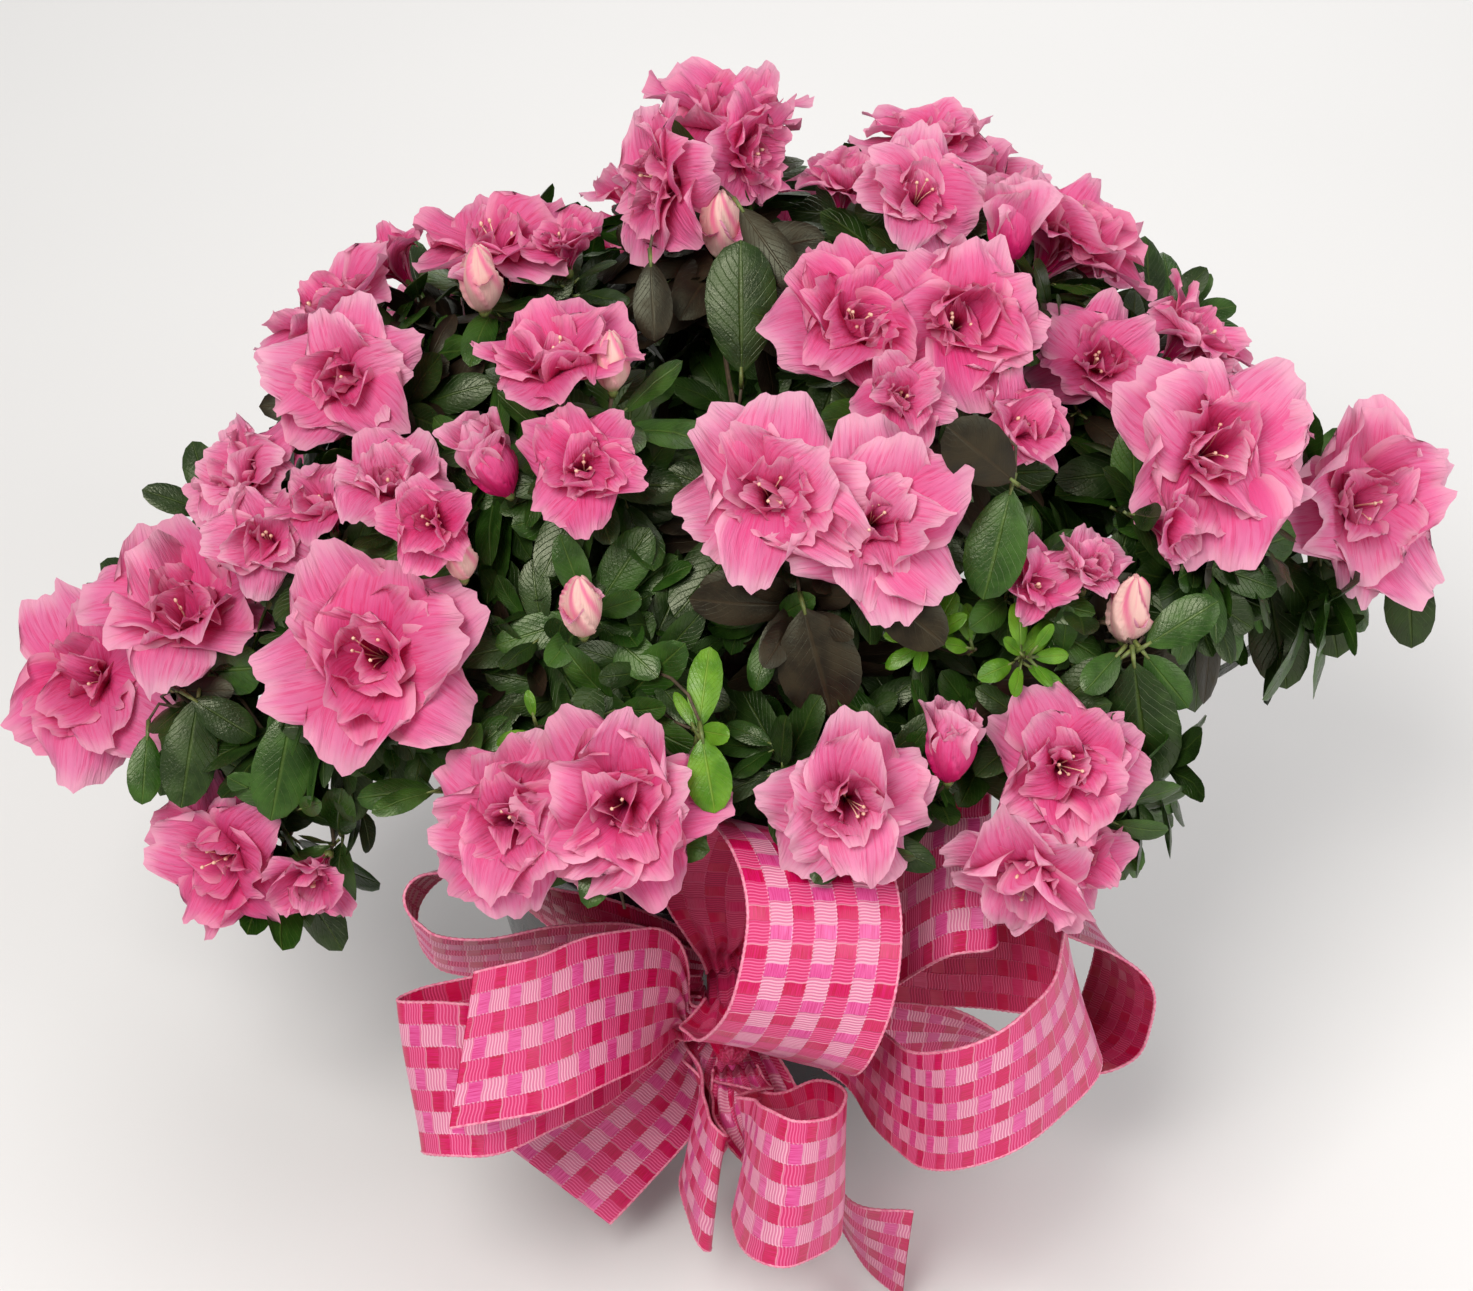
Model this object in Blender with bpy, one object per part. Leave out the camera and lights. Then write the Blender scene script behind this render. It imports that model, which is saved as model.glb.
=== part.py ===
"""An azalea in a plastic pot with a bow of checked ribbon, as separate closed solids.

Metres, +Z up. The pot stands on z = 0 with its axis on Z, and its front, with the bow, is towards -Y.
A short trunk forks into boughs just above the soil. Each bough ends where it meets the stems of its
masses of foliage, and each mass is one solid: a stem, the twigs that branch from it, and the leaves,
blooms and buds fused on them.
"""

import math
import random

import bmesh
import bpy
from mathutils import Vector
from mathutils.bvhtree import BVHTree

MM = 0.001
CLEARANCE = 0.3 * MM  # between solids that meet
SAFETY = 0.5 * MM  # kept round twigs and leaves of one mass by those of another

# Pot: a 165 mm azalea pot, wider than tall, with a deep rim band.
POT_HEIGHT = 122 * MM
POT_RIM_RADIUS = 82.5 * MM
POT_RIM_DEPTH = 20 * MM
POT_SHOULDER_RADIUS = 78 * MM
POT_BASE_RADIUS = 60 * MM
POT_WALL = 1.6 * MM
POT_FLOOR = 3 * MM
POT_SIDES = 28
SOIL_TOP = 110 * MM
SOIL_CROWN = 4 * MM  # how far the soil rises round the trunk

# Trunk and boughs
TRUNK_FOOT_RADIUS = 13 * MM
TRUNK_RADIUS = 8.5 * MM
TRUNK_TOP = 151 * MM
TRUNK_LEAN = Vector((2 * MM, 3 * MM, 0))
TRUNK_SIDES = 14
BOUGH_BASE_RADIUS = 3.1 * MM
BOUGH_TIP_RADIUS = 2.7 * MM
BOUGH_SIDES = 5
BOUGH_STEPS = 4
STRAIGHT_START = 1.5 * MM  # that a limb runs square to what it grows from
LOWER_TIER = 128 * MM
UPPER_TIER = 140 * MM

# Stems, twigs, leaves and blooms of a mass
STEM_RADIUS = 0.95 * MM
STEM_OFFSET = 1.4 * MM  # of a stem from the middle of its bough's tip, where the tip forks
TWIG_RADIUS = 0.9 * MM
LEAF_LENGTH = (29 * MM, 38 * MM)
LEAF_WIDTH_SHARE = 0.46
LEAF_THICKNESS = 1.0 * MM
LEAF_SPACING = 1.9 * MM  # between the roots of one whorl
LEAF_TRIES = 3  # turns tried for a leaf until it stands clear
WHORLS = {  # of a shoot: mm from its tip back to the first leaf, leaves, and how far they rise
    "leafy": (1.5 * MM, 3, (0.25, 0.7)),
    "bloom": (7 * MM, 2, (-0.1, 0.3)),
    "bud": (5 * MM, 2, (0.1, 0.5)),
}
GOLDEN_ANGLE = math.radians(137.5)
BLOOM_DEPTH_SHARE = 0.5  # of its diameter, from the calyx to the face
BLOOM_FILL = 1.02  # of its diameter that the solid has, so that neighbours stay clear
PETALS = 5
TWIG_IN_BLOOM = 3 * MM
CELL_OVERLAP = 4 * MM  # how far a leaf may pass the middle between two masses
CROWN_HEART = Vector((0, 0, 105 * MM))
CROWN_SIZE = Vector((212 * MM, 176 * MM, 176 * MM))
CROWN_MIDDLE = Vector((0, 0, 128 * MM))
CROWN_LOWEST = 88 * MM

# Ribbon and bow
RIBBON_WIDTH = 40 * MM
RIBBON_THICKNESS = 0.8 * MM
RIBBON_ROOT_WIDTH = 12 * MM
RIBBON_GATHER = 38 * MM  # length over which the ribbon spreads from the knot to its full width
RIBBON_LEAD = 6 * MM  # that a ribbon runs straight out of the knot
RIBBON_STEPS = 2  # between two stations
KNOT_CENTRE = Vector((2 * MM, -94 * MM, 84 * MM))
KNOT_RADIUS = 7 * MM
KNOT_FRONT = -118 * MM

FACINGS = {
    "out": (1.0, (0, 0, 0)),
    "front": (0.4, (0, -0.8, 0.6)),
    "up": (0.4, (0, 0, 1)),
    "low": (1.0, (0, 0, -0.7)),
    "left": (0.1, (-1, -0.5, 0.1)),
    "right": (0.1, (1, -0.5, 0.2)),
    "across": (0.1, (-0.45, -0.85, -0.1)),
}

# Each bough: the height where it leaves the trunk, and its tip in mm.
BOUGHS = {
    "bough_left": (LOWER_TIER, (-98, -38, 152)),
    "bough_left_front": (UPPER_TIER, (-64, -36, 172)),
    "bough_left_upper": (UPPER_TIER, (-54, 14, 190)),
    "bough_centre_left": (UPPER_TIER, (-20, -54, 182)),
    "bough_top": (UPPER_TIER, (-2, 16, 212)),
    "bough_rear_upper": (UPPER_TIER, (24, 38, 196)),
    "bough_right_upper": (UPPER_TIER, (72, 8, 190)),
    "bough_right": (LOWER_TIER, (98, -18, 160)),
    "bough_centre": (UPPER_TIER, (28, -40, 192)),
    "bough_front_left": (LOWER_TIER, (-24, -76, 150)),
    "bough_front_right": (LOWER_TIER, (52, -66, 158)),
    "bough_rear_left": (LOWER_TIER, (-84, 66, 150)),
    "bough_rear": (LOWER_TIER, (0, 86, 158)),
    "bough_rear_right": (LOWER_TIER, (84, 62, 150)),
}

# Each mass: its bough, its hub in mm, its leafy shoots, and its blooms as x, y, z, diameter and facing.
# A bloom under BUD_SIZE is a closed bud.
BUD_SIZE = 18
MASSES = {
    "foliage_left_far": ("bough_left", (-138, -42, 160), 4, [
        (-172, -50, 161, 44, "front"), (-143, -55, 191, 45, "up")]),
    "foliage_left_low": ("bough_left", (-112, -70, 140), 4, [
        (-134, -90, 131, 40, "out"), (-108, -100, 133, 22, "low")]),
    "foliage_left_front": ("bough_left_front", (-80, -74, 180), 4, [
        (-87, -102, 208, 49, "front")]),
    "foliage_left_mid": ("bough_left_front", (-94, -46, 202), 3, [
        (-126, -44, 224, 31, "out"), (-117, -65, 217, 25, "front"), (-101, -62, 228, 25, "up"),
        (-84, -68, 238, 26, "up"), (-71, -90, 240, 22, "front"), (-64, -90, 229, 11, "front")]),
    "foliage_left_upper": ("bough_left_upper", (-84, -5, 220), 3, [
        (-106, 0, 248, 37, "out"), (-98, -35, 249, 37, "front"), (-90, 20, 252, 24, "out")]),
    "foliage_rear_left_upper": ("bough_left_upper", (-50, 14, 232), 3, [
        (-60, 12, 263, 36, "up"), (-41, 2, 266, 20, "up"), (-62, -16, 264, 15, "front")]),
    "foliage_centre_left": ("bough_centre_left", (-38, -50, 222), 3, [
        (-42, -55, 267, 35, "up"), (-34, -86, 253, 27, "front"), (-57, -76, 248, 17, "left"),
        (-27, -60, 266, 12, "up")]),
    "foliage_heart": ("bough_centre_left", (-32, -80, 192), 5, [
        (-34, -106, 225, 14, "front")]),
    "foliage_top": ("bough_top", (-2, 18, 248), 2, [
        (-18, 0, 284, 34, "left"), (1, 48, 282, 38, "up"), (10, 15, 285, 27, "right"),
        (0, -6, 274, 15, "front")]),
    "foliage_rear_right_upper": ("bough_rear_upper", (42, 30, 238), 3, [
        (33, 26, 271, 22, "up"), (58, 56, 270, 33, "up"), (53, 18, 272, 32, "front")]),
    "foliage_right_upper": ("bough_right_upper", (78, 18, 226), 3, [
        (97, 30, 256, 44, "out"), (77, 12, 264, 17, "up")]),
    "foliage_centre_right": ("bough_centre", (48, -32, 226), 3, [
        (34, -44, 269, 37, "front"), (60, -38, 266, 40, "front"), (45, -63, 258, 22, "front"),
        (75, -56, 246, 25, "out")]),
    "foliage_right_mid": ("bough_right_upper", (104, 4, 208), 3, [
        (101, -14, 239, 33, "front"), (131, 12, 232, 32, "out")]),
    "foliage_right": ("bough_right", (116, -38, 198), 3, [
        (127, -52, 236, 48, "front"), (115, -70, 222, 20, "low"), (152, -6, 216, 22, "out")]),
    "foliage_right_far": ("bough_right", (150, -4, 170), 4, [
        (178, -10, 191, 48, "front")]),
    "foliage_centre": ("bough_centre", (20, -72, 212), 3, [
        (12, -91, 249, 40, "front"), (37, -94, 243, 40, "front")]),
    "foliage_right_low": ("bough_front_right", (84, -66, 188), 4, [
        (79, -86, 218, 19, "out"), (92, -80, 219, 19, "up"), (102, -86, 209, 16, "front")]),
    "foliage_front_left": ("bough_front_left", (-34, -102, 163), 4, [
        (-52, -131, 179, 38, "front"), (-25, -134, 186, 41, "front")]),
    "foliage_front_mid": ("bough_front_right", (34, -102, 168), 4, [
        (31, -131, 185, 38, "front"), (56, -118, 192, 17, "up")]),
    "foliage_front_right": ("bough_front_right", (90, -96, 168), 3, [
        (85, -118, 185, 35, "front"), (74, -136, 163, 33, "across"), (90, -122, 158, 24, "out")]),
    "foliage_rear_far_left": ("bough_rear_left", (-112, 60, 154), 4, [
        (-134, 68, 147, 46, "out"), (-112, 66, 200, 42, "up"), (-112, 98, 156, 38, "out")]),
    "foliage_rear_left": ("bough_rear_left", (-72, 108, 170), 3, [
        (-84, 132, 178, 46, "out"), (-62, 116, 196, 40, "up"), (-58, 148, 160, 32, "out")]),
    "foliage_rear": ("bough_rear", (0, 122, 166), 3, [
        (-14, 154, 172, 44, "out"), (18, 146, 196, 42, "out"), (4, 112, 222, 34, "up")]),
    "foliage_rear_right": ("bough_rear_right", (72, 108, 170), 3, [
        (60, 136, 182, 46, "out"), (90, 128, 172, 40, "out"), (78, 104, 214, 36, "up")]),
    "foliage_rear_far_right": ("bough_rear_right", (124, 62, 164), 4, [
        (152, 70, 168, 46, "out"), (126, 92, 178, 38, "out"), (132, 52, 198, 40, "up")]),
    "foliage_rear_upper": ("bough_rear", (-32, 80, 198), 3, [
        (-28, 84, 224, 42, "up"), (-62, 72, 218, 34, "out"), (-26, 112, 222, 26, "out")]),
    "foliage_rear_side": ("bough_rear_upper", (74, 66, 222), 3, [
        (72, 84, 240, 40, "up"), (104, 66, 228, 34, "out"), (38, 96, 236, 28, "up")]),
}

# Each ribbon: for each end at the knot, the angle in degrees round the knot and how far in front of the
# pot's axis in mm; then its stations, each the middle of the ribbon in mm and the direction across it.
RIBBONS = {
    "ribbon_ring_left": ((165, 79), (170, 82.5), [
        (-34, -86, 101, 0, 12, -38), (-58, -82, 115, 0, 26, -30), (-71, -84, 122, 0, 30, -26),
        (-79, -89, 124, 0, 29, -27), (-83, -95, 120, -1, 27, -29), (-80, -100, 112, -1, 24, -32),
        (-70, -101, 106, -1, 22, -33), (-34, -93, 101, 0, 16, -36)]),
    "ribbon_loop_left": ((190, 90), (188, 98), [
        (-32, -104, 88, 1, -6, -38), (-60, -119, 91, 4, -18, -34), (-76, -126, 92, 6, -20, -33),
        (-82, -133, 94, 6, -21, -31), (-72, -139, 99, 4, -22, -31), (-58, -136, 97, 2, -18, -34),
        (-32, -116, 91, 1, -9, -37)]),
    "ribbon_tail_left": ((170, 104), None, [
        (-14, -113, 104, -4, -6, -34), (-31, -129, 114, 2, -17, -34), (-47, -140, 116, 1, -19, -33),
        (-66, -148, 118, -8, -24, -39)]),
    "ribbon_tail_low": ((225, 86.5), None, [
        (-12, -92, 64, 22, 3, -30), (-22, -97, 51, 27, 0, -27), (-48, -111, 31, 32, -14, -20)]),
    "ribbon_loop_centre": ((95, 90), (90, 109), [
        (3, -96, 108, 38, -4, -2), (4, -98, 132, 39, -3, -3), (10, -106, 155, 37, 0, -10),
        (20, -124, 165, 36, 6, -10), (25, -143, 159, 36, 9, -8), (22, -156, 143, 37, 4, -6),
        (16, -154, 124, 40, -5, -5), (10, -138, 107, 40, -8, -6), (4, -125, 100, 38, -4, -6)]),
    "ribbon_loop_right_upper": ((15, 89), (15, 95), [
        (26, -94, 102, 0, -4, -38), (42, -97, 120, 1, -10, -38), (56, -97, 136, 2, -16, -36),
        (68, -103, 142, 1, -22, -32), (68, -110, 144, 1, -24, -31), (56, -113, 144, 1, -24, -31),
        (42, -109, 128, 2, -18, -34), (26, -102, 106, 1, -10, -38)]),
    "ribbon_loop_right": ((350, 85), (5, 104.5), [
        (42, -89, 98, 1, -1, -38), (60, -92, 100, 1, -2, -38), (76, -99, 106, 3, -3, -38),
        (89, -112, 113, 7, -2, -37), (92, -131, 118, 11, -2, -36), (84, -151, 120, 8, -1, -37),
        (71, -165, 121, 2, -4, -38), (56, -165, 113, 2, -2, -38), (45, -146, 98, 1, 2, -38),
        (33, -117, 87, 0, 8, -37)]),
    "ribbon_ring_right": ((345, 79), (335, 81), [
        (42, -80, 86, 0, 4, -38), (72, -80, 99, 1, 22, -31), (92, -82, 103, 2, 35, -18),
        (103, -83, 98, -3, 36, -17), (110, -84, 86, -10, 34, -17), (110, -84, 72, -14, 33, -17),
        (105, -83, 57, -14, 33, -17), (92, -81, 50, -10, 33, -18), (68, -79, 54, -2, 18, -33),
        (40, -82, 60, 0, 4, -38)]),
    "ribbon_loop_front": ((285, 100.5), (278, 113), [
        (15, -124, 61, 12, 2, -34), (26, -139, 75, 4, -6, -38), (31, -153, 83, -1, -9, -37),
        (27, -167, 90, -2, -9, -37), (17, -177, 96, -2, -13, -35), (9, -171, 94, -5, -13, -35),
        (5, -154, 85, -6, -2, -37), (6, -134, 72, 4, 4, -36)]),
    "ribbon_loop_low": ((255, 93.5), (265, 96.5), [
        (-6, -106, 57, 0, 8, -37), (-9, -122, 58, -6, 6, -37), (-6, -138, 61, -5, -2, -38),
        (-2, -141, 58, -5, -4, -38), (-4, -129, 54, -3, -2, -38), (-5, -109, 50, 2, 2, -38)]),
    "ribbon_tail_small": ((300, 88), None, [
        (18, -93, 52, 14, 4, -30), (27, -108, 32, 6, 8, -36), (36, -126, 27, 3, 12, -35),
        (50, -135, 26, -1, 5, -38)]),
}
# Loops in halves, as each goes round a wide gap.
SPLIT_LOOPS = ("ribbon_loop_centre", "ribbon_loop_right", "ribbon_ring_right")


def clear_scene():
    for old in list(bpy.data.objects):
        bpy.data.objects.remove(old, do_unlink=True)


def material(name, colour, roughness):
    made = bpy.data.materials.new(name)
    made.use_nodes = True
    shader = made.node_tree.nodes["Principled BSDF"]
    shader.inputs["Base Color"].default_value = (*colour, 1)
    shader.inputs["Roughness"].default_value = roughness
    shader.inputs["Metallic"].default_value = 0.0
    return made


def add_object(name, points, faces, finish):
    mesh = bpy.data.meshes.new(name)
    mesh.from_pydata([tuple(p) for p in points], [], faces)
    work = bmesh.new()
    work.from_mesh(mesh)
    bmesh.ops.recalc_face_normals(work, faces=work.faces)
    if work.calc_volume(signed=True) < 0:
        bmesh.ops.reverse_faces(work, faces=work.faces)
    work.to_mesh(mesh)
    work.free()
    mesh.materials.append(finish)
    made = bpy.data.objects.new(name, mesh)
    bpy.context.scene.collection.objects.link(made)
    return made


def in_metres(numbers):
    return Vector(numbers) * MM


def across(direction):
    """Two unit vectors square to this one and to each other."""
    helper = Vector((0, 0, 1)) if abs(direction.z) < 0.9 else Vector((1, 0, 0))
    side = direction.cross(helper).normalized()
    return side, direction.cross(side).normalized()


def bezier(start, start_pull, end_pull, end, steps):
    found = []
    for i in range(steps + 1):
        t = i / steps
        s = 1 - t
        found.append(start * s**3 + start_pull * 3 * s * s * t + end_pull * 3 * s * t * t + end * t**3)
    return found


def limb(path, radii, sides, turn=0.0, level=False):
    """A tapering limb of this many sides along a path, closed by flat ends, with level rings if asked."""
    points = []
    faces = []
    side, other = across((path[1] - path[0]).normalized())
    for i, here in enumerate(path):
        ahead = path[min(i + 1, len(path) - 1)] - path[max(i - 1, 0)]
        ahead = Vector((0, 0, 1)) if level else ahead.normalized()
        side = (side - ahead * side.dot(ahead)).normalized()
        other = ahead.cross(side)
        for k in range(sides):
            angle = turn + math.tau * k / sides
            points.append(here + (side * math.cos(angle) + other * math.sin(angle)) * radii[i])
    for i in range(len(path) - 1):
        for k in range(sides):
            a = i * sides + k
            b = i * sides + (k + 1) % sides
            faces.append((a, b, b + sides, a + sides))
    faces.append(tuple(range(sides))[::-1])
    faces.append(tuple(range((len(path) - 1) * sides, len(path) * sides)))
    return points, faces


def turned(profile, sides, middle=Vector((0, 0, 0))):
    """A closed solid turned round the Z axis. Profile points are (radius, height) and end on the axis."""
    points = []
    rings = []
    for radius, height in profile:
        if radius == 0:
            rings.append([len(points)])
            points.append(middle + Vector((0, 0, height)))
            continue
        rings.append(list(range(len(points), len(points) + sides)))
        for k in range(sides):
            angle = math.tau * k / sides
            points.append(middle + Vector((radius * math.cos(angle), radius * math.sin(angle), height)))
    faces = []
    for low, high in zip(rings, rings[1:]):
        for k in range(sides):
            j = (k + 1) % sides
            corners = [low[k % len(low)], low[j % len(low)], high[j % len(high)], high[k % len(high)]]
            faces.append(tuple(dict.fromkeys(corners)))
    return points, faces


def pot():
    shoulder = POT_HEIGHT - POT_RIM_DEPTH
    profile = [
        (0, 0),
        (POT_BASE_RADIUS - 2 * MM, 0),
        (POT_BASE_RADIUS, 2 * MM),
        (POT_SHOULDER_RADIUS, shoulder - 2 * MM),
        (POT_RIM_RADIUS, shoulder),
        (POT_RIM_RADIUS, POT_HEIGHT),
        (POT_RIM_RADIUS - 2 * MM, POT_HEIGHT),
        (POT_SHOULDER_RADIUS - POT_WALL, shoulder - 1 * MM),
        (POT_BASE_RADIUS - POT_WALL, POT_FLOOR),
        (0, POT_FLOOR),
    ]
    return turned(profile, POT_SIDES)


def soil():
    """The peat that fills the pot, a little clear of its wall, and rises round the trunk."""
    shoulder = POT_HEIGHT - POT_RIM_DEPTH
    inner = POT_SHOULDER_RADIUS - POT_WALL
    slack = 2 * CLEARANCE
    profile = [
        (0, POT_FLOOR + CLEARANCE),
        (POT_BASE_RADIUS - POT_WALL - slack, POT_FLOOR + CLEARANCE),
        (inner - slack, shoulder - 1 * MM),
        (inner, SOIL_TOP),
        (inner - 10 * MM, SOIL_TOP + 1 * MM),
        (TRUNK_FOOT_RADIUS + 10 * MM, SOIL_TOP + SOIL_CROWN),
        (0, SOIL_TOP + SOIL_CROWN),
    ]
    return turned(profile, POT_SIDES)


def trunk_middle(height):
    foot = SOIL_TOP + SOIL_CROWN + CLEARANCE
    return TRUNK_LEAN * ((height - foot) / (TRUNK_TOP - foot)) + Vector((0, 0, height))


def trunk():
    """A short leaning stem, flared at its foot, cut flat at the soil."""
    foot = SOIL_TOP + SOIL_CROWN + CLEARANCE
    heights = [foot, foot + 3 * MM, foot + 8 * MM, foot + 20 * MM, TRUNK_TOP - 3 * MM, TRUNK_TOP]
    radii = [TRUNK_FOOT_RADIUS, TRUNK_FOOT_RADIUS - 3 * MM, TRUNK_RADIUS, TRUNK_RADIUS - 0.4 * MM,
             TRUNK_RADIUS - 1.5 * MM, 0.45 * TRUNK_RADIUS]
    return limb([trunk_middle(height) for height in heights], radii, TRUNK_SIDES, level=True)


def bough_path(name):
    """From beside the trunk, level at first, in an arch to the tip."""
    tier, tip = BOUGHS[name]
    tip = in_metres(tip)
    radial = Vector((tip.x, tip.y, 0)).normalized()
    start = trunk_middle(tier) + radial * (TRUNK_RADIUS + CLEARANCE)
    bend = start + radial * STRAIGHT_START
    length = (tip - bend).length
    pull = bend + radial * 0.3 * length + Vector((0, 0, 0.12 * length))
    outward = (tip - bend).normalized() * 0.3 * length
    return [start] + bezier(bend, pull, tip - outward - Vector((0, 0, 0.14 * length)), tip, BOUGH_STEPS)


def bough(name):
    path = bough_path(name)
    steps = len(path) - 1
    radii = [BOUGH_BASE_RADIUS + (BOUGH_TIP_RADIUS - BOUGH_BASE_RADIUS) * i / steps for i in range(steps + 1)]
    return limb(path, radii, BOUGH_SIDES)


def facing_of(place, facing):
    outward_share, pull = FACINGS[facing]
    outward = (place - CROWN_HEART).normalized()
    return (outward * outward_share + Vector(pull)).normalized()


def stem_path(name):
    """From the fork of the bough's tip to the mass's hub."""
    bough_name, hub = MASSES[name][0], in_metres(MASSES[name][1])
    path = bough_path(bough_name)
    tip = path[-1]
    ahead = (path[-1] - path[-2]).normalized()
    sharers = [other for other in MASSES if MASSES[other][0] == bough_name]
    aside = Vector((0, 0, 0))
    if len(sharers) > 1:
        middle = Vector((0, 0, 0))
        for other in sharers:
            middle += in_metres(MASSES[other][1]) / len(sharers)
        lean = hub - middle
        aside = (lean - ahead * lean.dot(ahead)).normalized() * STEM_OFFSET
    start = tip + aside + ahead * CLEARANCE
    bend = start + ahead * STRAIGHT_START
    reach = (hub - bend).length
    return [start] + bezier(bend, bend + ahead * 0.3 * reach, hub - (hub - bend) * 0.25, hub, 2)


def shoots_of(name):
    """Every shoot of a mass as (kind, tip, direction, diameter): its blooms, buds and leafy shoots."""
    _, hub, leafy, blooms = MASSES[name]
    hub = in_metres(hub)
    found = []
    for x, y, z, diameter, facing in blooms:
        place = in_metres((x, y, z))
        kind = "bud" if diameter < BUD_SIZE else "bloom"
        found.append((kind, place, facing_of(place, facing), diameter * MM))
    draw = random.Random(name)
    outward = (hub - CROWN_HEART).normalized()
    side, other = across(outward)
    for i in range(leafy):
        polar = math.radians(38 + 52 * (i + 0.5) / leafy)
        around = GOLDEN_ANGLE * i + draw.uniform(0, 1.2)
        direction = outward * math.cos(polar)
        direction += (side * math.cos(around) + other * math.sin(around)) * math.sin(polar)
        direction.normalize()
        tip = hub + direction * draw.uniform(17, 25) * MM
        found.append(("leafy", tip, (direction + outward * 0.4).normalized(), 0))
    return found


def twig_path(stem, tip, station):
    """A twig from a station along the stem's last stretch to its tip."""
    start = stem[-2] + (stem[-1] - stem[-2]) * station
    return [start, tip]


def leaf(root, direction, up, length, width):
    """A leaf of eight faces, thick at its root and thin at its edge, with a raised midrib."""
    side = direction.cross(up).normalized()
    normal = side.cross(direction).normalized()
    half = LEAF_THICKNESS / 2
    wide = root + direction * 0.55 * length
    points = [
        root + normal * half,
        root - normal * half,
        wide + side * width / 2,
        root + direction * length - normal * 0.08 * length,
        wide - side * width / 2,
        root + direction * 0.5 * length + normal * half * 1.6,
    ]
    faces = [(0, 2, 5), (2, 3, 5), (3, 4, 5), (4, 0, 5), (1, 3, 2), (1, 4, 3), (0, 1, 2), (0, 4, 1)]
    return points, faces


def bloom(place, axis, diameter, turn):
    """A double bloom: a cone from its calyx to five notched petals, which rise to a ring round its middle."""
    radius = diameter / 2 * BLOOM_FILL
    side, other = across(axis)
    rings = [(0, 1.0, -0.08), (0.5, 0.92, 0.02), (0, 0.5, 0.26)]
    points = [place - axis * BLOOM_DEPTH_SHARE * diameter]
    for shift, share, height in rings:
        for k in range(PETALS):
            angle = turn + math.tau * (k + shift) / PETALS
            spoke = side * math.cos(angle) + other * math.sin(angle)
            points.append(place + spoke * radius * share + axis * radius * height)
    middle = len(points)
    points.append(place + axis * radius * 0.1)
    faces = []
    for k in range(PETALS):
        j = (k + 1) % PETALS
        petal, notch, ridge = 1 + k, 1 + PETALS + k, 1 + 2 * PETALS + k
        next_petal, next_ridge = 1 + j, 1 + 2 * PETALS + j
        faces += [(0, notch, petal), (0, next_petal, notch)]
        faces += [(petal, notch, ridge), (notch, next_petal, next_ridge), (notch, next_ridge, ridge)]
        faces += [(ridge, next_ridge, middle)]
    return points, faces


def bud(place, axis, diameter):
    """A closed bud: a five-sided spindle on its calyx."""
    side, other = across(axis)
    rings = [(0.36, -0.45), (0.5, 0.15)]
    points = [place - axis * diameter]
    for share, height in rings:
        for k in range(5):
            angle = math.tau * k / 5
            spoke = side * math.cos(angle) + other * math.sin(angle)
            points.append(place + spoke * diameter * share + axis * diameter * height)
    points.append(place + axis * diameter * 0.9)
    faces = []
    for k in range(5):
        j = (k + 1) % 5
        faces += [(0, 1 + j, 1 + k), (1 + k, 1 + j, 6 + j, 6 + k), (6 + k, 6 + j, 11)]
    return points, faces


def triangles(points, faces, start=0):
    found = []
    for face in faces:
        for i in range(1, len(face) - 1):
            found.append((face[0] + start, face[i] + start, face[i + 1] + start))
    return found


def tree_of(pieces):
    points = []
    faces = []
    for piece_points, piece_faces in pieces:
        faces += triangles(piece_points, piece_faces, len(points))
        points += piece_points
    return BVHTree.FromPolygons(points, faces) if faces else None


def swollen(points, faces, by):
    """The piece with each point moved out by this much along its faces' shared normal."""
    middle = sum(points, Vector()) / len(points)
    normals = [Vector() for _ in points]
    for a, b, c in triangles(points, faces):
        normal = (points[b] - points[a]).cross(points[c] - points[a]).normalized()
        if normal.dot(points[a] - middle) < 0:
            normal.negate()
        for corner in (a, b, c):
            normals[corner] += normal
    return [p + n.normalized() * by for p, n in zip(points, normals)]


def stands_clear(piece, others):
    if others is None:
        return True
    points, faces = piece
    grown = swollen(points, faces, SAFETY)
    if BVHTree.FromPolygons(grown, triangles(points, faces)).overlap(others):
        return False
    for point in points:
        near, _, _, distance = others.find_nearest(point)
        if near is not None and distance < SAFETY:
            return False
    return True


def keeps_to_cell(name, point):
    """True where the point is in the crown and, but for a small overlap, nearest to its own hub."""
    offset = point - CROWN_MIDDLE
    reach = sum((offset[i] / CROWN_SIZE[i]) ** 2 for i in range(3))
    if reach > 1 or point.z < CROWN_LOWEST:
        return False
    own = (point - in_metres(MASSES[name][1])).length
    for other in MASSES:
        if other != name and (point - in_metres(MASSES[other][1])).length < own - CELL_OVERLAP:
            return False
    return True


def carried_by(name):
    """Each shoot of a mass as its kind, its twig's path, and its pieces: the twig and what it bears."""
    stem = stem_path(name)
    draw = random.Random(name + " twigs")
    for kind, place, direction, diameter in shoots_of(name):
        station = draw.uniform(0.25, 0.95)
        turn = draw.uniform(0, math.tau)
        if kind == "bloom":
            tip = place - direction * (BLOOM_DEPTH_SHARE * diameter - TWIG_IN_BLOOM)
            parts = [bloom(place, direction, diameter, turn)]
        elif kind == "bud":
            tip = place - direction * (diameter - TWIG_IN_BLOOM)
            parts = [bud(place, direction, diameter)]
        else:
            tip = place
            parts = []
        path = twig_path(stem, tip, station)
        yield kind, path, [limb(path, [TWIG_RADIUS] * 2, 3, turn), *parts]


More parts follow.
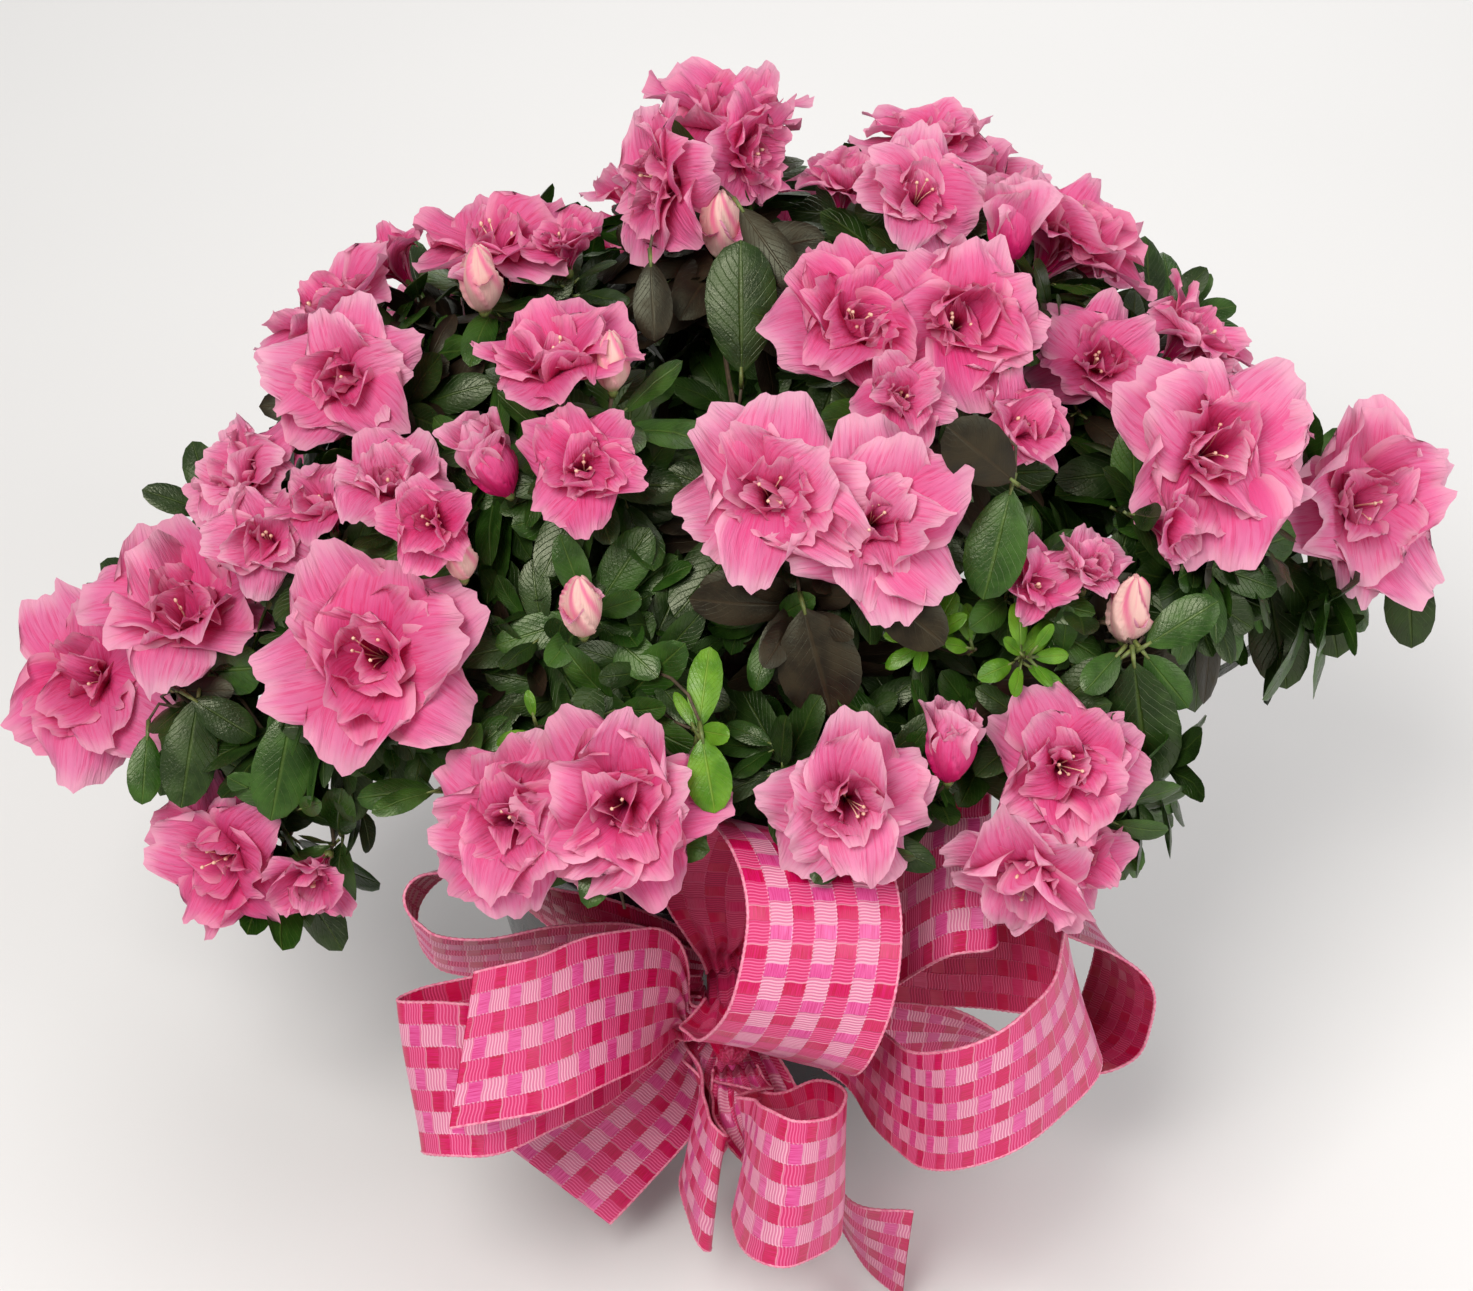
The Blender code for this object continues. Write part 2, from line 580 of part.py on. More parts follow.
def leaves_of(name, kind, path):
    """For each leaf round a shoot, its candidate places: a rosette at a leafy tip, a whorl under a bloom."""
    draw = random.Random(name + " leaves " + str(tuple(round(v, 4) for v in path[-1])))
    ahead = (path[1] - path[0]).normalized()
    side, other = across(ahead)
    back, count, rise = WHORLS[kind]
    for i in range(count):
        root = path[1] - ahead * (back + LEAF_SPACING * i)
        places = []
        for turn in range(LEAF_TRIES):
            angle = GOLDEN_ANGLE * i + math.tau * turn / (LEAF_TRIES * 2) + draw.uniform(-0.25, 0.25)
            spoke = side * math.cos(angle) + other * math.sin(angle)
            direction = (spoke + ahead * draw.uniform(*rise)).normalized()
            length = draw.uniform(*LEAF_LENGTH)
            places.append(leaf(root, direction, ahead, length, length * LEAF_WIDTH_SHARE))
        yield places


def pieces_in(masses, left_out=None):
    return [piece for name, pieces in masses.items() if name != left_out for piece in pieces]


def grown_masses(fixed):
    """The pieces of every mass: first what carries blooms, then leafy twigs, then leaves."""
    masses = {name: [limb(stem_path(name), [STEM_RADIUS] * 3 + [TWIG_RADIUS], 4)] for name in MASSES}
    shoots = {name: [] for name in MASSES}
    for wanted in (("bloom", "bud"), ("leafy",)):
        for name in MASSES:
            others = tree_of(fixed + pieces_in(masses, name))
            for kind, path, parts in carried_by(name):
                if kind not in wanted:
                    continue
                if kind == "leafy" and not keeps_to_cell(name, path[-1]):
                    continue
                if all(stands_clear(part, others) for part in parts):
                    masses[name] += parts
                    shoots[name].append((kind, path, parts))
    for name in MASSES:
        others = tree_of(fixed + pieces_in(masses, name))
        for kind, path, parts in shoots[name]:
            own = tree_of([piece for piece in masses[name] if piece is not parts[0]])
            for places in leaves_of(name, kind, path):
                for piece in places:
                    in_cell = all(keeps_to_cell(name, point) for point in piece[0][2:5])
                    if in_cell and stands_clear(piece, others) and stands_clear(piece, own):
                        masses[name].append(piece)
                        break
    return masses


def largest_body(mesh):
    """Keeps the body of greatest volume: loose scraps and sealed hollows go."""
    work = bmesh.new()
    work.from_mesh(mesh)
    bmesh.ops.triangulate(work, faces=work.faces)
    work.faces.ensure_lookup_table()
    unseen = set(work.faces)
    bodies = []
    while unseen:
        todo = [unseen.pop()]
        body = set(todo)
        while todo:
            for edge in todo.pop().edges:
                for face in edge.link_faces:
                    if face in unseen:
                        unseen.discard(face)
                        body.add(face)
                        todo.append(face)
        volume = 0
        for face in body:
            a, b, c = (v.co for v in face.verts)
            volume += a.dot(b.cross(c)) / 6
        bodies.append((volume, body))
    kept = max(bodies, key=lambda found: found[0])[1]
    bmesh.ops.delete(work, geom=[f for f in work.faces if f not in kept], context="FACES")
    bmesh.ops.delete(work, geom=[v for v in work.verts if not v.link_faces], context="VERTS")
    work.to_mesh(mesh)
    work.free()


def is_closed(mesh):
    work = bmesh.new()
    work.from_mesh(mesh)
    closed = all(len(edge.link_faces) == 2 for edge in work.edges)
    work.free()
    return closed


def fused(name, pieces, finish):
    """One solid from overlapping pieces, by a Boolean union on a collection, applied."""
    base = add_object(name, *pieces[0], finish)
    group = bpy.data.collections.new(name + "_pieces")
    bpy.context.scene.collection.children.link(group)
    for i, piece in enumerate(pieces[1:]):
        made = add_object(f"{name}_piece_{i}", *piece, finish)
        bpy.context.scene.collection.objects.unlink(made)
        group.objects.link(made)
    union = base.modifiers.new("union", "BOOLEAN")
    union.operation = "UNION"
    union.operand_type = "COLLECTION"
    union.collection = group
    for solver in ("EXACT", "MANIFOLD"):
        union.solver = solver
        bpy.context.view_layer.update()
        evaluated = base.evaluated_get(bpy.context.evaluated_depsgraph_get())
        joined = bpy.data.meshes.new_from_object(evaluated)
        largest_body(joined)
        if is_closed(joined):
            break
    base.modifiers.clear()
    base.data = joined
    for made in list(group.objects):
        bpy.data.objects.remove(made, do_unlink=True)
    bpy.data.collections.remove(group)
    return base


def ribbon_stations(name):
    """The middle and the direction across at each station, with two more at each end at the knot."""
    start, end, between = RIBBONS[name]
    found = []
    for x, y, z, across_x, across_y, across_z in between:
        found.append((in_metres((x, y, z)), Vector((across_x, across_y, across_z)).normalized()))
    for root, where in ((start, 0), (end, len(found) + 2)):
        if root is None:
            continue
        angle = math.radians(root[0])
        away = Vector((math.cos(angle), 0, math.sin(angle)))
        middle = Vector((KNOT_CENTRE.x, -root[1] * MM, KNOT_CENTRE.z))
        direction = Vector((away.z, 0, -away.x))
        if direction.dot(found[min(where, len(found) - 1)][1]) < 0:
            direction.negate()
        near = (middle + away * (KNOT_RADIUS + CLEARANCE), direction)
        far = (middle + away * (KNOT_RADIUS + RIBBON_LEAD), direction)
        if where == 0:
            found[:0] = [near, far]
        else:
            found += [far, near]
    return found


def smooth_between(values, steps):
    """Catmull-Rom through the values, with this many steps between two of them."""
    found = []
    for i in range(len(values) - 1):
        before = values[max(i - 1, 0)]
        here, ahead = values[i], values[i + 1]
        after = values[min(i + 2, len(values) - 1)]
        for k in range(steps):
            t = k / steps
            found.append(0.5 * (2 * here + (ahead - before) * t
                                + (2 * before - 5 * here + 4 * ahead - after) * t**2
                                + (3 * here - before - 3 * ahead + after) * t**3))
    found.append(values[-1].copy())
    return found


def ribbon_sections(name):
    """The ribbon as (middle, direction across, width) along its whole length."""
    stations = ribbon_stations(name)
    middles = smooth_between([s[0] for s in stations], RIBBON_STEPS)
    directions = smooth_between([s[1] for s in stations], RIBBON_STEPS)
    run = [0.0]
    for before, here in zip(middles, middles[1:]):
        run.append(run[-1] + (here - before).length)
    looped = RIBBONS[name][1] is not None
    found = []
    for middle, direction, along in zip(middles, directions, run):
        from_knot = min(along, run[-1] - along) if looped else along
        spread = min(from_knot / RIBBON_GATHER, 1)
        spread = spread * spread * (3 - 2 * spread)
        width = RIBBON_ROOT_WIDTH + (RIBBON_WIDTH - RIBBON_ROOT_WIDTH) * spread
        found.append((middle, direction.normalized(), width))
    return found


def strip(sections):
    """A closed strip of even thickness through the sections, its two sides cut along the same diagonals."""
    points = []
    for i, (middle, direction, width) in enumerate(sections):
        ahead = sections[min(i + 1, len(sections) - 1)][0] - sections[max(i - 1, 0)][0]
        normal = ahead.cross(direction).normalized() * RIBBON_THICKNESS / 2
        edge = direction * width / 2
        points += [middle - edge - normal, middle + edge - normal, middle + edge + normal,
                   middle - edge + normal]
    faces = []
    for a in range(0, 4 * (len(sections) - 1), 4):
        faces += [(a, a + 1, a + 5), (a, a + 5, a + 4)]
        faces += [(a + 3, a + 6, a + 2), (a + 3, a + 7, a + 6)]
        faces += [(a + 1, a + 2, a + 6, a + 5), (a, a + 4, a + 7, a + 3)]
    last = 4 * (len(sections) - 1)
    faces.append((3, 2, 1, 0))
    faces.append((last, last + 1, last + 2, last + 3))
    return points, faces


def ribbon_pieces():
    """Each ribbon as named strips, two of them where a loop is split at its bend."""
    found = {}
    for name in RIBBONS:
        sections = ribbon_sections(name)
        if name not in SPLIT_LOOPS:
            found[name] = strip(sections)
            continue
        cut = len(sections) // 2
        middle, direction, width = sections[cut]
        ahead = (sections[cut + 1][0] - sections[cut - 1][0]).normalized() * CLEARANCE / 2
        found[name + "_back"] = strip(sections[:cut] + [(middle - ahead, direction, width)])
        found[name + "_front"] = strip([(middle + ahead, direction, width)] + sections[cut + 1:])
    return found


def knot():
    """The tied middle of the bow: a short barrel from the pot's wall forwards."""
    back = -(POT_BASE_RADIUS + (POT_SHOULDER_RADIUS - POT_BASE_RADIUS) * 0.92 + CLEARANCE)
    stations = [back, back - 3 * MM, KNOT_FRONT + 3 * MM, KNOT_FRONT]
    path = [Vector((KNOT_CENTRE.x, y, KNOT_CENTRE.z)) for y in stations]
    radii = [0.8 * KNOT_RADIUS, KNOT_RADIUS, KNOT_RADIUS, 0.75 * KNOT_RADIUS]
    return limb(path, radii, 12)


def main():
    clear_scene()
    plastic = material("pot_plastic", (0.012, 0.011, 0.013), 0.25)
    peat = material("peat", (0.03, 0.018, 0.01), 0.95)
    bark = material("bark", (0.09, 0.055, 0.035), 0.85)
    foliage = material("foliage", (0.03, 0.09, 0.025), 0.45)
    ribbon = material("ribbon", (0.75, 0.12, 0.3), 0.4)

    solids = {"pot": pot(), "soil": soil(), "trunk": trunk()}
    limbs = {name: bough(name) for name in BOUGHS}
    bow = {"ribbon_knot": knot(), **ribbon_pieces()}
    for name, shape in solids.items():
        made = add_object(name, *shape, {"pot": plastic, "soil": peat, "trunk": bark}[name])
        made.data.shade_smooth()
        made.data.set_sharp_from_angle(angle=math.radians(35))
    for name, shape in limbs.items():
        add_object(name, *shape, bark)
    for name, shape in bow.items():
        add_object(name, *shape, ribbon)

    fixed = list(solids.values()) + list(limbs.values()) + list(bow.values())
    for name, pieces in grown_masses(fixed).items():
        fused(name, pieces, foliage)


main()
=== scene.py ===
"""Looks of an azalea in bloom in its pot, with a bow of checked ribbon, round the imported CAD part.

Metres, +Z up, in the part's own frame. The crown is grown by the same rule as the part's solids and
carried on to finer twigs, leaves and ruffled double blooms.
"""

import random
from collections import defaultdict
from functools import partialmethod
from itertools import product
from math import cos, pi, radians, sin, tau

import bpy
import numpy as np
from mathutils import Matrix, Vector, noise
from mathutils.bvhtree import BVHTree
from numpy.linalg import norm


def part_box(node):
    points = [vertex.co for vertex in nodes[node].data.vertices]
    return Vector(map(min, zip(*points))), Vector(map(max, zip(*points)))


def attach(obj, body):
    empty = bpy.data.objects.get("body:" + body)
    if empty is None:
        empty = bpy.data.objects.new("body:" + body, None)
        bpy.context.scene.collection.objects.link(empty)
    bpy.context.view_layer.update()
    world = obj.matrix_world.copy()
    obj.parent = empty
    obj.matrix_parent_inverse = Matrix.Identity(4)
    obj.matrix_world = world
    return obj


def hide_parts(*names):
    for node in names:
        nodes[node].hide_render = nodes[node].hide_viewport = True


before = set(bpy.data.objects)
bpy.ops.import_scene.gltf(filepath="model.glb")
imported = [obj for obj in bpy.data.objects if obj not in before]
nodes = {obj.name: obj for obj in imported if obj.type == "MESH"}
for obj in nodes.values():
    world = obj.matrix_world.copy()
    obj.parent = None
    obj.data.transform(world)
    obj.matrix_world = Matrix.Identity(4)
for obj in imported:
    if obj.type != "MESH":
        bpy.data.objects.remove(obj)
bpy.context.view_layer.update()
scene = bpy.context.scene

MM = 0.001
CLEARANCE = 0.3 * MM
GOLDEN_ANGLE = radians(137.5)
UP = np.array((0, 0, 1.0))

# Pot and soil
POT_HEIGHT = 122 * MM
POT_RIM_RADIUS = 82.5 * MM
POT_RIM_DEPTH = 20 * MM
POT_SHOULDER_RADIUS = 78 * MM
POT_BASE_RADIUS = 60 * MM
POT_WALL = 1.6 * MM
SOIL_TOP = 110 * MM
SOIL_CROWN = 4 * MM

# Trunk, boughs, stems and twigs
TRUNK_FOOT_RADIUS = 13 * MM
TRUNK_RADIUS = 8.5 * MM
TRUNK_TOP = 151 * MM
TRUNK_LEAN = np.array((2, 3, 0)) * MM
BOUGH_BASE_RADIUS = 3.1 * MM
BOUGH_TIP_RADIUS = 2.7 * MM
STRAIGHT_START = 1.5 * MM
LOWER_TIER = 128 * MM
UPPER_TIER = 140 * MM
STEM_RADIUS = 1.15 * MM
STEM_OFFSET = 1.4 * MM
TWIG_RADIUS = 0.75 * MM
FINE_TWIG = TWIG_RADIUS * 0.8

# Crown
CROWN_HEART = np.array((0, 0, 105)) * MM
CROWN_SIZE = np.array((212, 176, 176)) * MM
CROWN_MIDDLE = np.array((0, 0, 128)) * MM
CROWN_LOWEST = 90 * MM
CELL_OVERLAP = 9 * MM
BLOOM_DEPTH_SHARE = 0.5
BUD_SIZE = 18

# Ribbon and bow
RIBBON_WIDTH = 40 * MM
RIBBON_THICKNESS = 0.5 * MM
RIBBON_ROOT_WIDTH = 12 * MM
RIBBON_GATHER = 38 * MM
RIBBON_LEAD = 6 * MM
KNOT_CENTRE = np.array((2, -94, 84)) * MM
KNOT_RADIUS = 7 * MM


def named(prefix, **rows):
    """A table whose names all start alike."""
    return {prefix + name: row for name, row in rows.items()}


FACINGS = {
    "out": (1, (0, 0, 0)), "front": (0.4, (0, -0.8, 0.6)), "up": (0.4, (0, 0, 1)), "low": (1, (0, 0, -0.7)),
    "left": (0.1, (-1, -0.5, 0.1)), "right": (0.1, (1, -0.5, 0.2)), "across": (0.1, (-0.45, -0.85, -0.1)),
}

# Each bough: the height where it leaves the trunk, and its tip in mm.
BOUGHS = named(
    "bough_",
    left=(LOWER_TIER, (-98, -38, 152)), left_front=(UPPER_TIER, (-64, -36, 172)),
    left_upper=(UPPER_TIER, (-54, 14, 190)), centre_left=(UPPER_TIER, (-20, -54, 182)),
    top=(UPPER_TIER, (-2, 16, 212)), rear_upper=(UPPER_TIER, (24, 38, 196)),
    right_upper=(UPPER_TIER, (72, 8, 190)), right=(LOWER_TIER, (98, -18, 160)),
    centre=(UPPER_TIER, (28, -40, 192)), front_left=(LOWER_TIER, (-24, -76, 150)),
    front_right=(LOWER_TIER, (52, -66, 158)), rear_left=(LOWER_TIER, (-84, 66, 150)),
    rear=(LOWER_TIER, (0, 86, 158)), rear_right=(LOWER_TIER, (84, 62, 150)))

# Each mass: its bough, its hub in mm, its leafy shoots, and its blooms as x, y, z, diameter and facing.
# A bloom under BUD_SIZE is a closed bud.
MASSES = named(
    "foliage_",
    left_far=("left", (-138, -42, 160), 4, [(-172, -50, 161, 44, "front"), (-143, -55, 191, 45, "up")]),
    left_low=("left", (-112, -70, 140), 4, [(-134, -90, 131, 40, "out"), (-108, -100, 133, 22, "low")]),
    left_front=("left_front", (-80, -74, 180), 4, [(-87, -102, 208, 49, "front")]),
    left_mid=("left_front", (-94, -46, 202), 3, [(-126, -44, 224, 31, "out"), (-117, -65, 217, 25, "front"),
        (-101, -62, 228, 25, "up"), (-84, -68, 238, 26, "up"), (-71, -90, 240, 22, "front"),
        (-64, -90, 229, 11, "front")]),
    left_upper=("left_upper", (-84, -5, 220), 3, [(-106, 0, 248, 37, "out"), (-98, -35, 249, 37, "front"),
        (-90, 20, 252, 24, "out")]),
    rear_left_upper=("left_upper", (-50, 14, 232), 3, [(-60, 12, 263, 36, "up"), (-41, 2, 266, 20, "up"),
        (-62, -16, 264, 15, "front")]),
    centre_left=("centre_left", (-38, -50, 222), 3, [(-42, -55, 267, 35, "up"), (-34, -86, 253, 27, "front"),
        (-57, -76, 248, 17, "left"), (-27, -60, 266, 12, "up")]),
    heart=("centre_left", (-32, -80, 192), 5, [(-34, -106, 225, 14, "front")]),
    top=("top", (-2, 18, 248), 2, [(-18, 0, 284, 34, "left"), (1, 48, 282, 38, "up"),
        (10, 15, 285, 27, "right"), (0, -6, 274, 15, "front")]),
    rear_right_upper=("rear_upper", (42, 30, 238), 3, [(33, 26, 271, 22, "up"), (58, 56, 270, 33, "up"),
        (53, 18, 272, 32, "front")]),
    right_upper=("right_upper", (78, 18, 226), 3, [(97, 30, 256, 44, "out"), (77, 12, 264, 17, "up")]),
    centre_right=("centre", (48, -32, 226), 3, [(34, -44, 269, 37, "front"), (60, -38, 266, 40, "front"),
        (45, -63, 258, 22, "front"), (75, -56, 246, 25, "out")]),
    right_mid=("right_upper", (104, 4, 208), 3, [(101, -14, 239, 33, "front"), (131, 12, 232, 32, "out")]),
    right=("right", (116, -38, 198), 3, [(127, -52, 236, 48, "front"), (115, -70, 222, 20, "low"),
        (152, -6, 216, 22, "out")]),
    right_far=("right", (150, -4, 170), 4, [(178, -10, 191, 48, "front")]),
    centre=("centre", (20, -72, 212), 3, [(12, -91, 249, 40, "front"), (37, -94, 243, 40, "front")]),
    right_low=("front_right", (84, -66, 188), 4, [(79, -86, 218, 19, "out"), (92, -80, 219, 19, "up"),
        (102, -86, 209, 16, "front")]),
    front_left=("front_left", (-34, -102, 163), 4, [(-52, -131, 179, 38, "front"),
        (-25, -134, 186, 41, "front")]),
    front_mid=("front_right", (34, -102, 168), 4, [(31, -131, 185, 38, "front"), (56, -118, 192, 17, "up")]),
    front_right=("front_right", (90, -96, 168), 3, [(85, -118, 185, 35, "front"),
        (74, -136, 163, 33, "across"), (90, -122, 158, 24, "out")]),
    rear_far_left=("rear_left", (-112, 60, 154), 4, [(-134, 68, 147, 46, "out"), (-112, 66, 200, 42, "up"),
        (-112, 98, 156, 38, "out")]),
    rear_left=("rear_left", (-72, 108, 170), 3, [(-84, 132, 178, 46, "out"), (-62, 116, 196, 40, "up"),
        (-58, 148, 160, 32, "out")]),
    rear=("rear", (0, 122, 166), 3, [(-14, 154, 172, 44, "out"), (18, 146, 196, 42, "out"),
        (4, 112, 222, 34, "up")]),
    rear_right=("rear_right", (72, 108, 170), 3, [(60, 136, 182, 46, "out"), (90, 128, 172, 40, "out"),
        (78, 104, 214, 36, "up")]),
    rear_far_right=("rear_right", (124, 62, 164), 4, [(152, 70, 168, 46, "out"), (126, 92, 178, 38, "out"),
        (132, 52, 198, 40, "up")]),
    rear_upper=("rear", (-32, 80, 198), 3, [(-28, 84, 224, 42, "up"), (-62, 72, 218, 34, "out"),
        (-26, 112, 222, 26, "out")]),
    rear_side=("rear_upper", (74, 66, 222), 3, [(72, 84, 240, 40, "up"), (104, 66, 228, 34, "out"),
        (38, 96, 236, 28, "up")]))

# Each ribbon: for each end at the knot, the angle in degrees round the knot and how far in front of the
# pot's axis in mm; then its stations, each the middle of the ribbon in mm and the way across it.
RIBBONS = named(
    "ribbon_",
    ring_left=((165, 79), (170, 82.5), [(-34, -86, 101, 0, 12, -38), (-58, -82, 115, 0, 26, -30),
        (-71, -84, 122, 0, 30, -26), (-79, -89, 124, 0, 29, -27), (-83, -95, 120, -1, 27, -29),
        (-80, -100, 112, -1, 24, -32), (-70, -101, 106, -1, 22, -33), (-34, -93, 101, 0, 16, -36)]),
    loop_left=((190, 90), (188, 98), [(-32, -104, 88, 1, -6, -38), (-60, -119, 91, 4, -18, -34),
        (-76, -126, 92, 6, -20, -33), (-82, -133, 94, 6, -21, -31), (-72, -139, 99, 4, -22, -31),
        (-58, -136, 97, 2, -18, -34), (-32, -116, 91, 1, -9, -37)]),
    tail_left=((170, 104), None, [(-14, -113, 104, -4, -6, -34), (-31, -129, 114, 2, -17, -34),
        (-47, -140, 116, 1, -19, -33), (-66, -148, 118, -8, -24, -39)]),
    tail_low=((225, 86.5), None, [(-12, -92, 64, 22, 3, -30), (-22, -97, 51, 27, 0, -27),
        (-48, -111, 31, 32, -14, -20)]),
    loop_centre=((95, 90), (90, 109), [(3, -96, 108, 38, -4, -2), (4, -98, 132, 39, -3, -3),
        (10, -106, 155, 37, 0, -10), (20, -124, 165, 36, 6, -10), (25, -143, 159, 36, 9, -8),
        (22, -156, 143, 37, 4, -6), (16, -154, 124, 40, -5, -5), (10, -138, 107, 40, -8, -6),
        (4, -125, 100, 38, -4, -6)]),
    loop_right_upper=((15, 89), (15, 95), [(26, -94, 102, 0, -4, -38), (42, -97, 120, 1, -10, -38),
        (56, -97, 136, 2, -16, -36), (68, -103, 142, 1, -22, -32), (68, -110, 144, 1, -24, -31),
        (56, -113, 144, 1, -24, -31), (42, -109, 128, 2, -18, -34), (26, -102, 106, 1, -10, -38)]),
    loop_right=((350, 85), (5, 104.5), [(42, -89, 98, 1, -1, -38), (60, -92, 100, 1, -2, -38),
        (76, -99, 106, 3, -3, -38), (89, -112, 113, 7, -2, -37), (92, -131, 118, 11, -2, -36),
        (84, -151, 120, 8, -1, -37), (71, -165, 121, 2, -4, -38), (56, -165, 113, 2, -2, -38),
        (45, -146, 98, 1, 2, -38), (33, -117, 87, 0, 8, -37)]),
    ring_right=((345, 79), (335, 81), [(42, -80, 86, 0, 4, -38), (72, -80, 99, 1, 22, -31),
        (92, -82, 103, 2, 35, -18), (103, -83, 98, -3, 36, -17), (110, -84, 86, -10, 34, -17),
        (110, -84, 72, -14, 33, -17), (105, -83, 57, -14, 33, -17), (92, -81, 50, -10, 33, -18),
        (68, -79, 54, -2, 18, -33), (40, -82, 60, 0, 4, -38)]),
    loop_front=((285, 100.5), (278, 113), [(15, -124, 61, 12, 2, -34), (26, -139, 75, 4, -6, -38),
        (31, -153, 83, -1, -9, -37), (27, -167, 90, -2, -9, -37), (17, -177, 96, -2, -13, -35),
        (9, -171, 94, -5, -13, -35), (5, -154, 85, -6, -2, -37), (6, -134, 72, 4, 4, -36)]),
    loop_low=((255, 93.5), (265, 96.5), [(-6, -106, 57, 0, 8, -37), (-9, -122, 58, -6, 6, -37),
        (-6, -138, 61, -5, -2, -38), (-2, -141, 58, -5, -4, -38), (-4, -129, 54, -3, -2, -38),
        (-5, -109, 50, 2, 2, -38)]),
    tail_small=((300, 88), None, [(18, -93, 52, 14, 4, -30), (27, -108, 32, 6, 8, -36),
        (36, -126, 27, 3, 12, -35), (50, -135, 26, -1, 5, -38)]))


def in_metres(numbers):
    return np.array(numbers, float) * MM


def unit(vector):
    return np.asarray(vector) / norm(vector)


def across(way):
    """Two unit vectors square to this one and to each other."""
    helper = UP if abs(way[2]) < 0.9 else np.array((1.0, 0, 0))
    side = unit(np.cross(way, helper))
    return side, unit(np.cross(way, side))


def spokes(axis, angle):
    """The way out from an axis at this angle, and the way on round it."""
    side, other = across(axis)
    return side * cos(angle) + other * sin(angle), other * cos(angle) - side * sin(angle)


def bezier(start, start_pull, end_pull, end, steps):
    t = np.linspace(0, 1, steps + 1)[:, None]
    s = 1 - t
    return start * s**3 + start_pull * 3 * s * s * t + end_pull * 3 * s * t * t + end * t**3


def smoothstep(low, high, value):
    t = np.clip((value - low) / (high - low), 0, 1)
    return t * t * (3 - 2 * t)


def grid(u, v):
    """A place on the pattern for each row and column of a surface."""
    return np.stack([u + 0 * v, v + 0 * u], -1)


class Pile:
    """Points and faces heaped up for one mesh, each point with its place on the piece's pattern."""

    def __init__(self):
        self.points, self.places, self.quads, self.triangles = [], [], [], []
        self.count = 0

    def add(self, points, places=None, wrap=False, first=None, last=None, hub=(0, 0), finish=0):
        """A sheet of points in rows and columns. wrap joins the last column to the first, and first and
        last are points that close it in a fan, with hub their place. finish is which of the piece's
        finishes it has."""
        rows, cols = points.shape[:2]
        number = self.count + np.arange(rows * cols).reshape(rows, cols)
        if wrap:
            number = np.hstack([number, number[:, :1]])
        quads = [number[:-1, :-1], number[:-1, 1:], number[1:, 1:], number[1:, :-1]]
        self.quads.append((np.stack(quads, -1).reshape(-1, 4), finish))
        self.points.append(points.reshape(-1, 3))
        self.places.append(np.zeros((rows * cols, 2)) if places is None else places.reshape(-1, 2))
        self.count += rows * cols
        for tip, ring in ((first, number[0][::-1]), (last, number[-1])):
            if tip is not None:
                self.points.append(np.reshape(tip, (1, 3)))
                self.places.append(np.reshape(hub, (1, 2)))
                fan = np.stack([ring[:-1], ring[1:], np.full(len(ring) - 1, self.count)], -1)
                self.triangles.append((fan, finish))
                self.count += 1

    def tube(self, path, radii, sides):
        """A limb round a path, closed by a fan at each end."""
        self.add(rings_round(path, radii, sides), wrap=True, first=path[0], last=path[-1])

    def piece(self, name, finishes, slot, replaced, pattern=True):
        """Makes the heap one object, which rides on the plant's body and stands for the replaced nodes."""
        mesh = bpy.data.meshes.new(name)
        points = np.concatenate(self.points).astype(np.float32)
        sheets = self.quads + self.triangles
        loops = np.concatenate([faces.ravel() for faces, _ in sheets]).astype(np.int32)
        sizes = np.concatenate([np.full(len(faces), faces.shape[1]) for faces, _ in sheets])
        chosen = np.concatenate([np.full(len(faces), finish) for faces, finish in sheets])
        mesh.vertices.add(len(points))
        mesh.vertices.foreach_set("co", points.ravel())
        mesh.loops.add(len(loops))
        mesh.loops.foreach_set("vertex_index", loops)
        mesh.polygons.add(len(sizes))
        mesh.polygons.foreach_set("loop_start", (np.cumsum(sizes) - sizes).astype(np.int32))
        mesh.update(calc_edges=True)
        if pattern:
            places = np.concatenate(self.places)[loops].astype(np.float32)
            mesh.uv_layers.new(name="OFBake").data.foreach_set("uv", places.ravel())
        mesh.polygons.foreach_set("material_index", chosen.astype(np.int32))
        mesh.shade_smooth()
        for finish in finishes:
            mesh.materials.append(finish)
        made = bpy.data.objects.new(name, mesh)
        scene.collection.objects.link(made)
        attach(made, "root")
        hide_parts(*replaced)


def rings_round(path, radii, sides):
    """Rings of points round a path, turned as little as can be from one to the next."""
    path = np.asarray(path, float)
    ahead = np.gradient(path, axis=0)
    ahead /= norm(ahead, axis=1)[:, None]
    side = across(ahead[0])[0]
    angles = np.linspace(0, tau, sides, endpoint=False)[:, None]
    rings = []
    for here, forward, radius in zip(path, ahead, radii):
        side = unit(side - forward * side.dot(forward))
        other = np.cross(forward, side)
        rings.append(here + radius * (np.cos(angles) * side + np.sin(angles) * other))
    return np.array(rings)


# The plant's rule of growth, as in the part's own source.

HUBS = {name: in_metres(row[1]) for name, row in MASSES.items()}
TURNED = {"foliage_left_low": np.array((0.15, -0.8, 0.45))}  # blooms that have turned to the light


def trunk_middle(height):
    foot = SOIL_TOP + SOIL_CROWN + CLEARANCE
    return TRUNK_LEAN * ((height - foot) / (TRUNK_TOP - foot)) + np.array((0, 0, height))


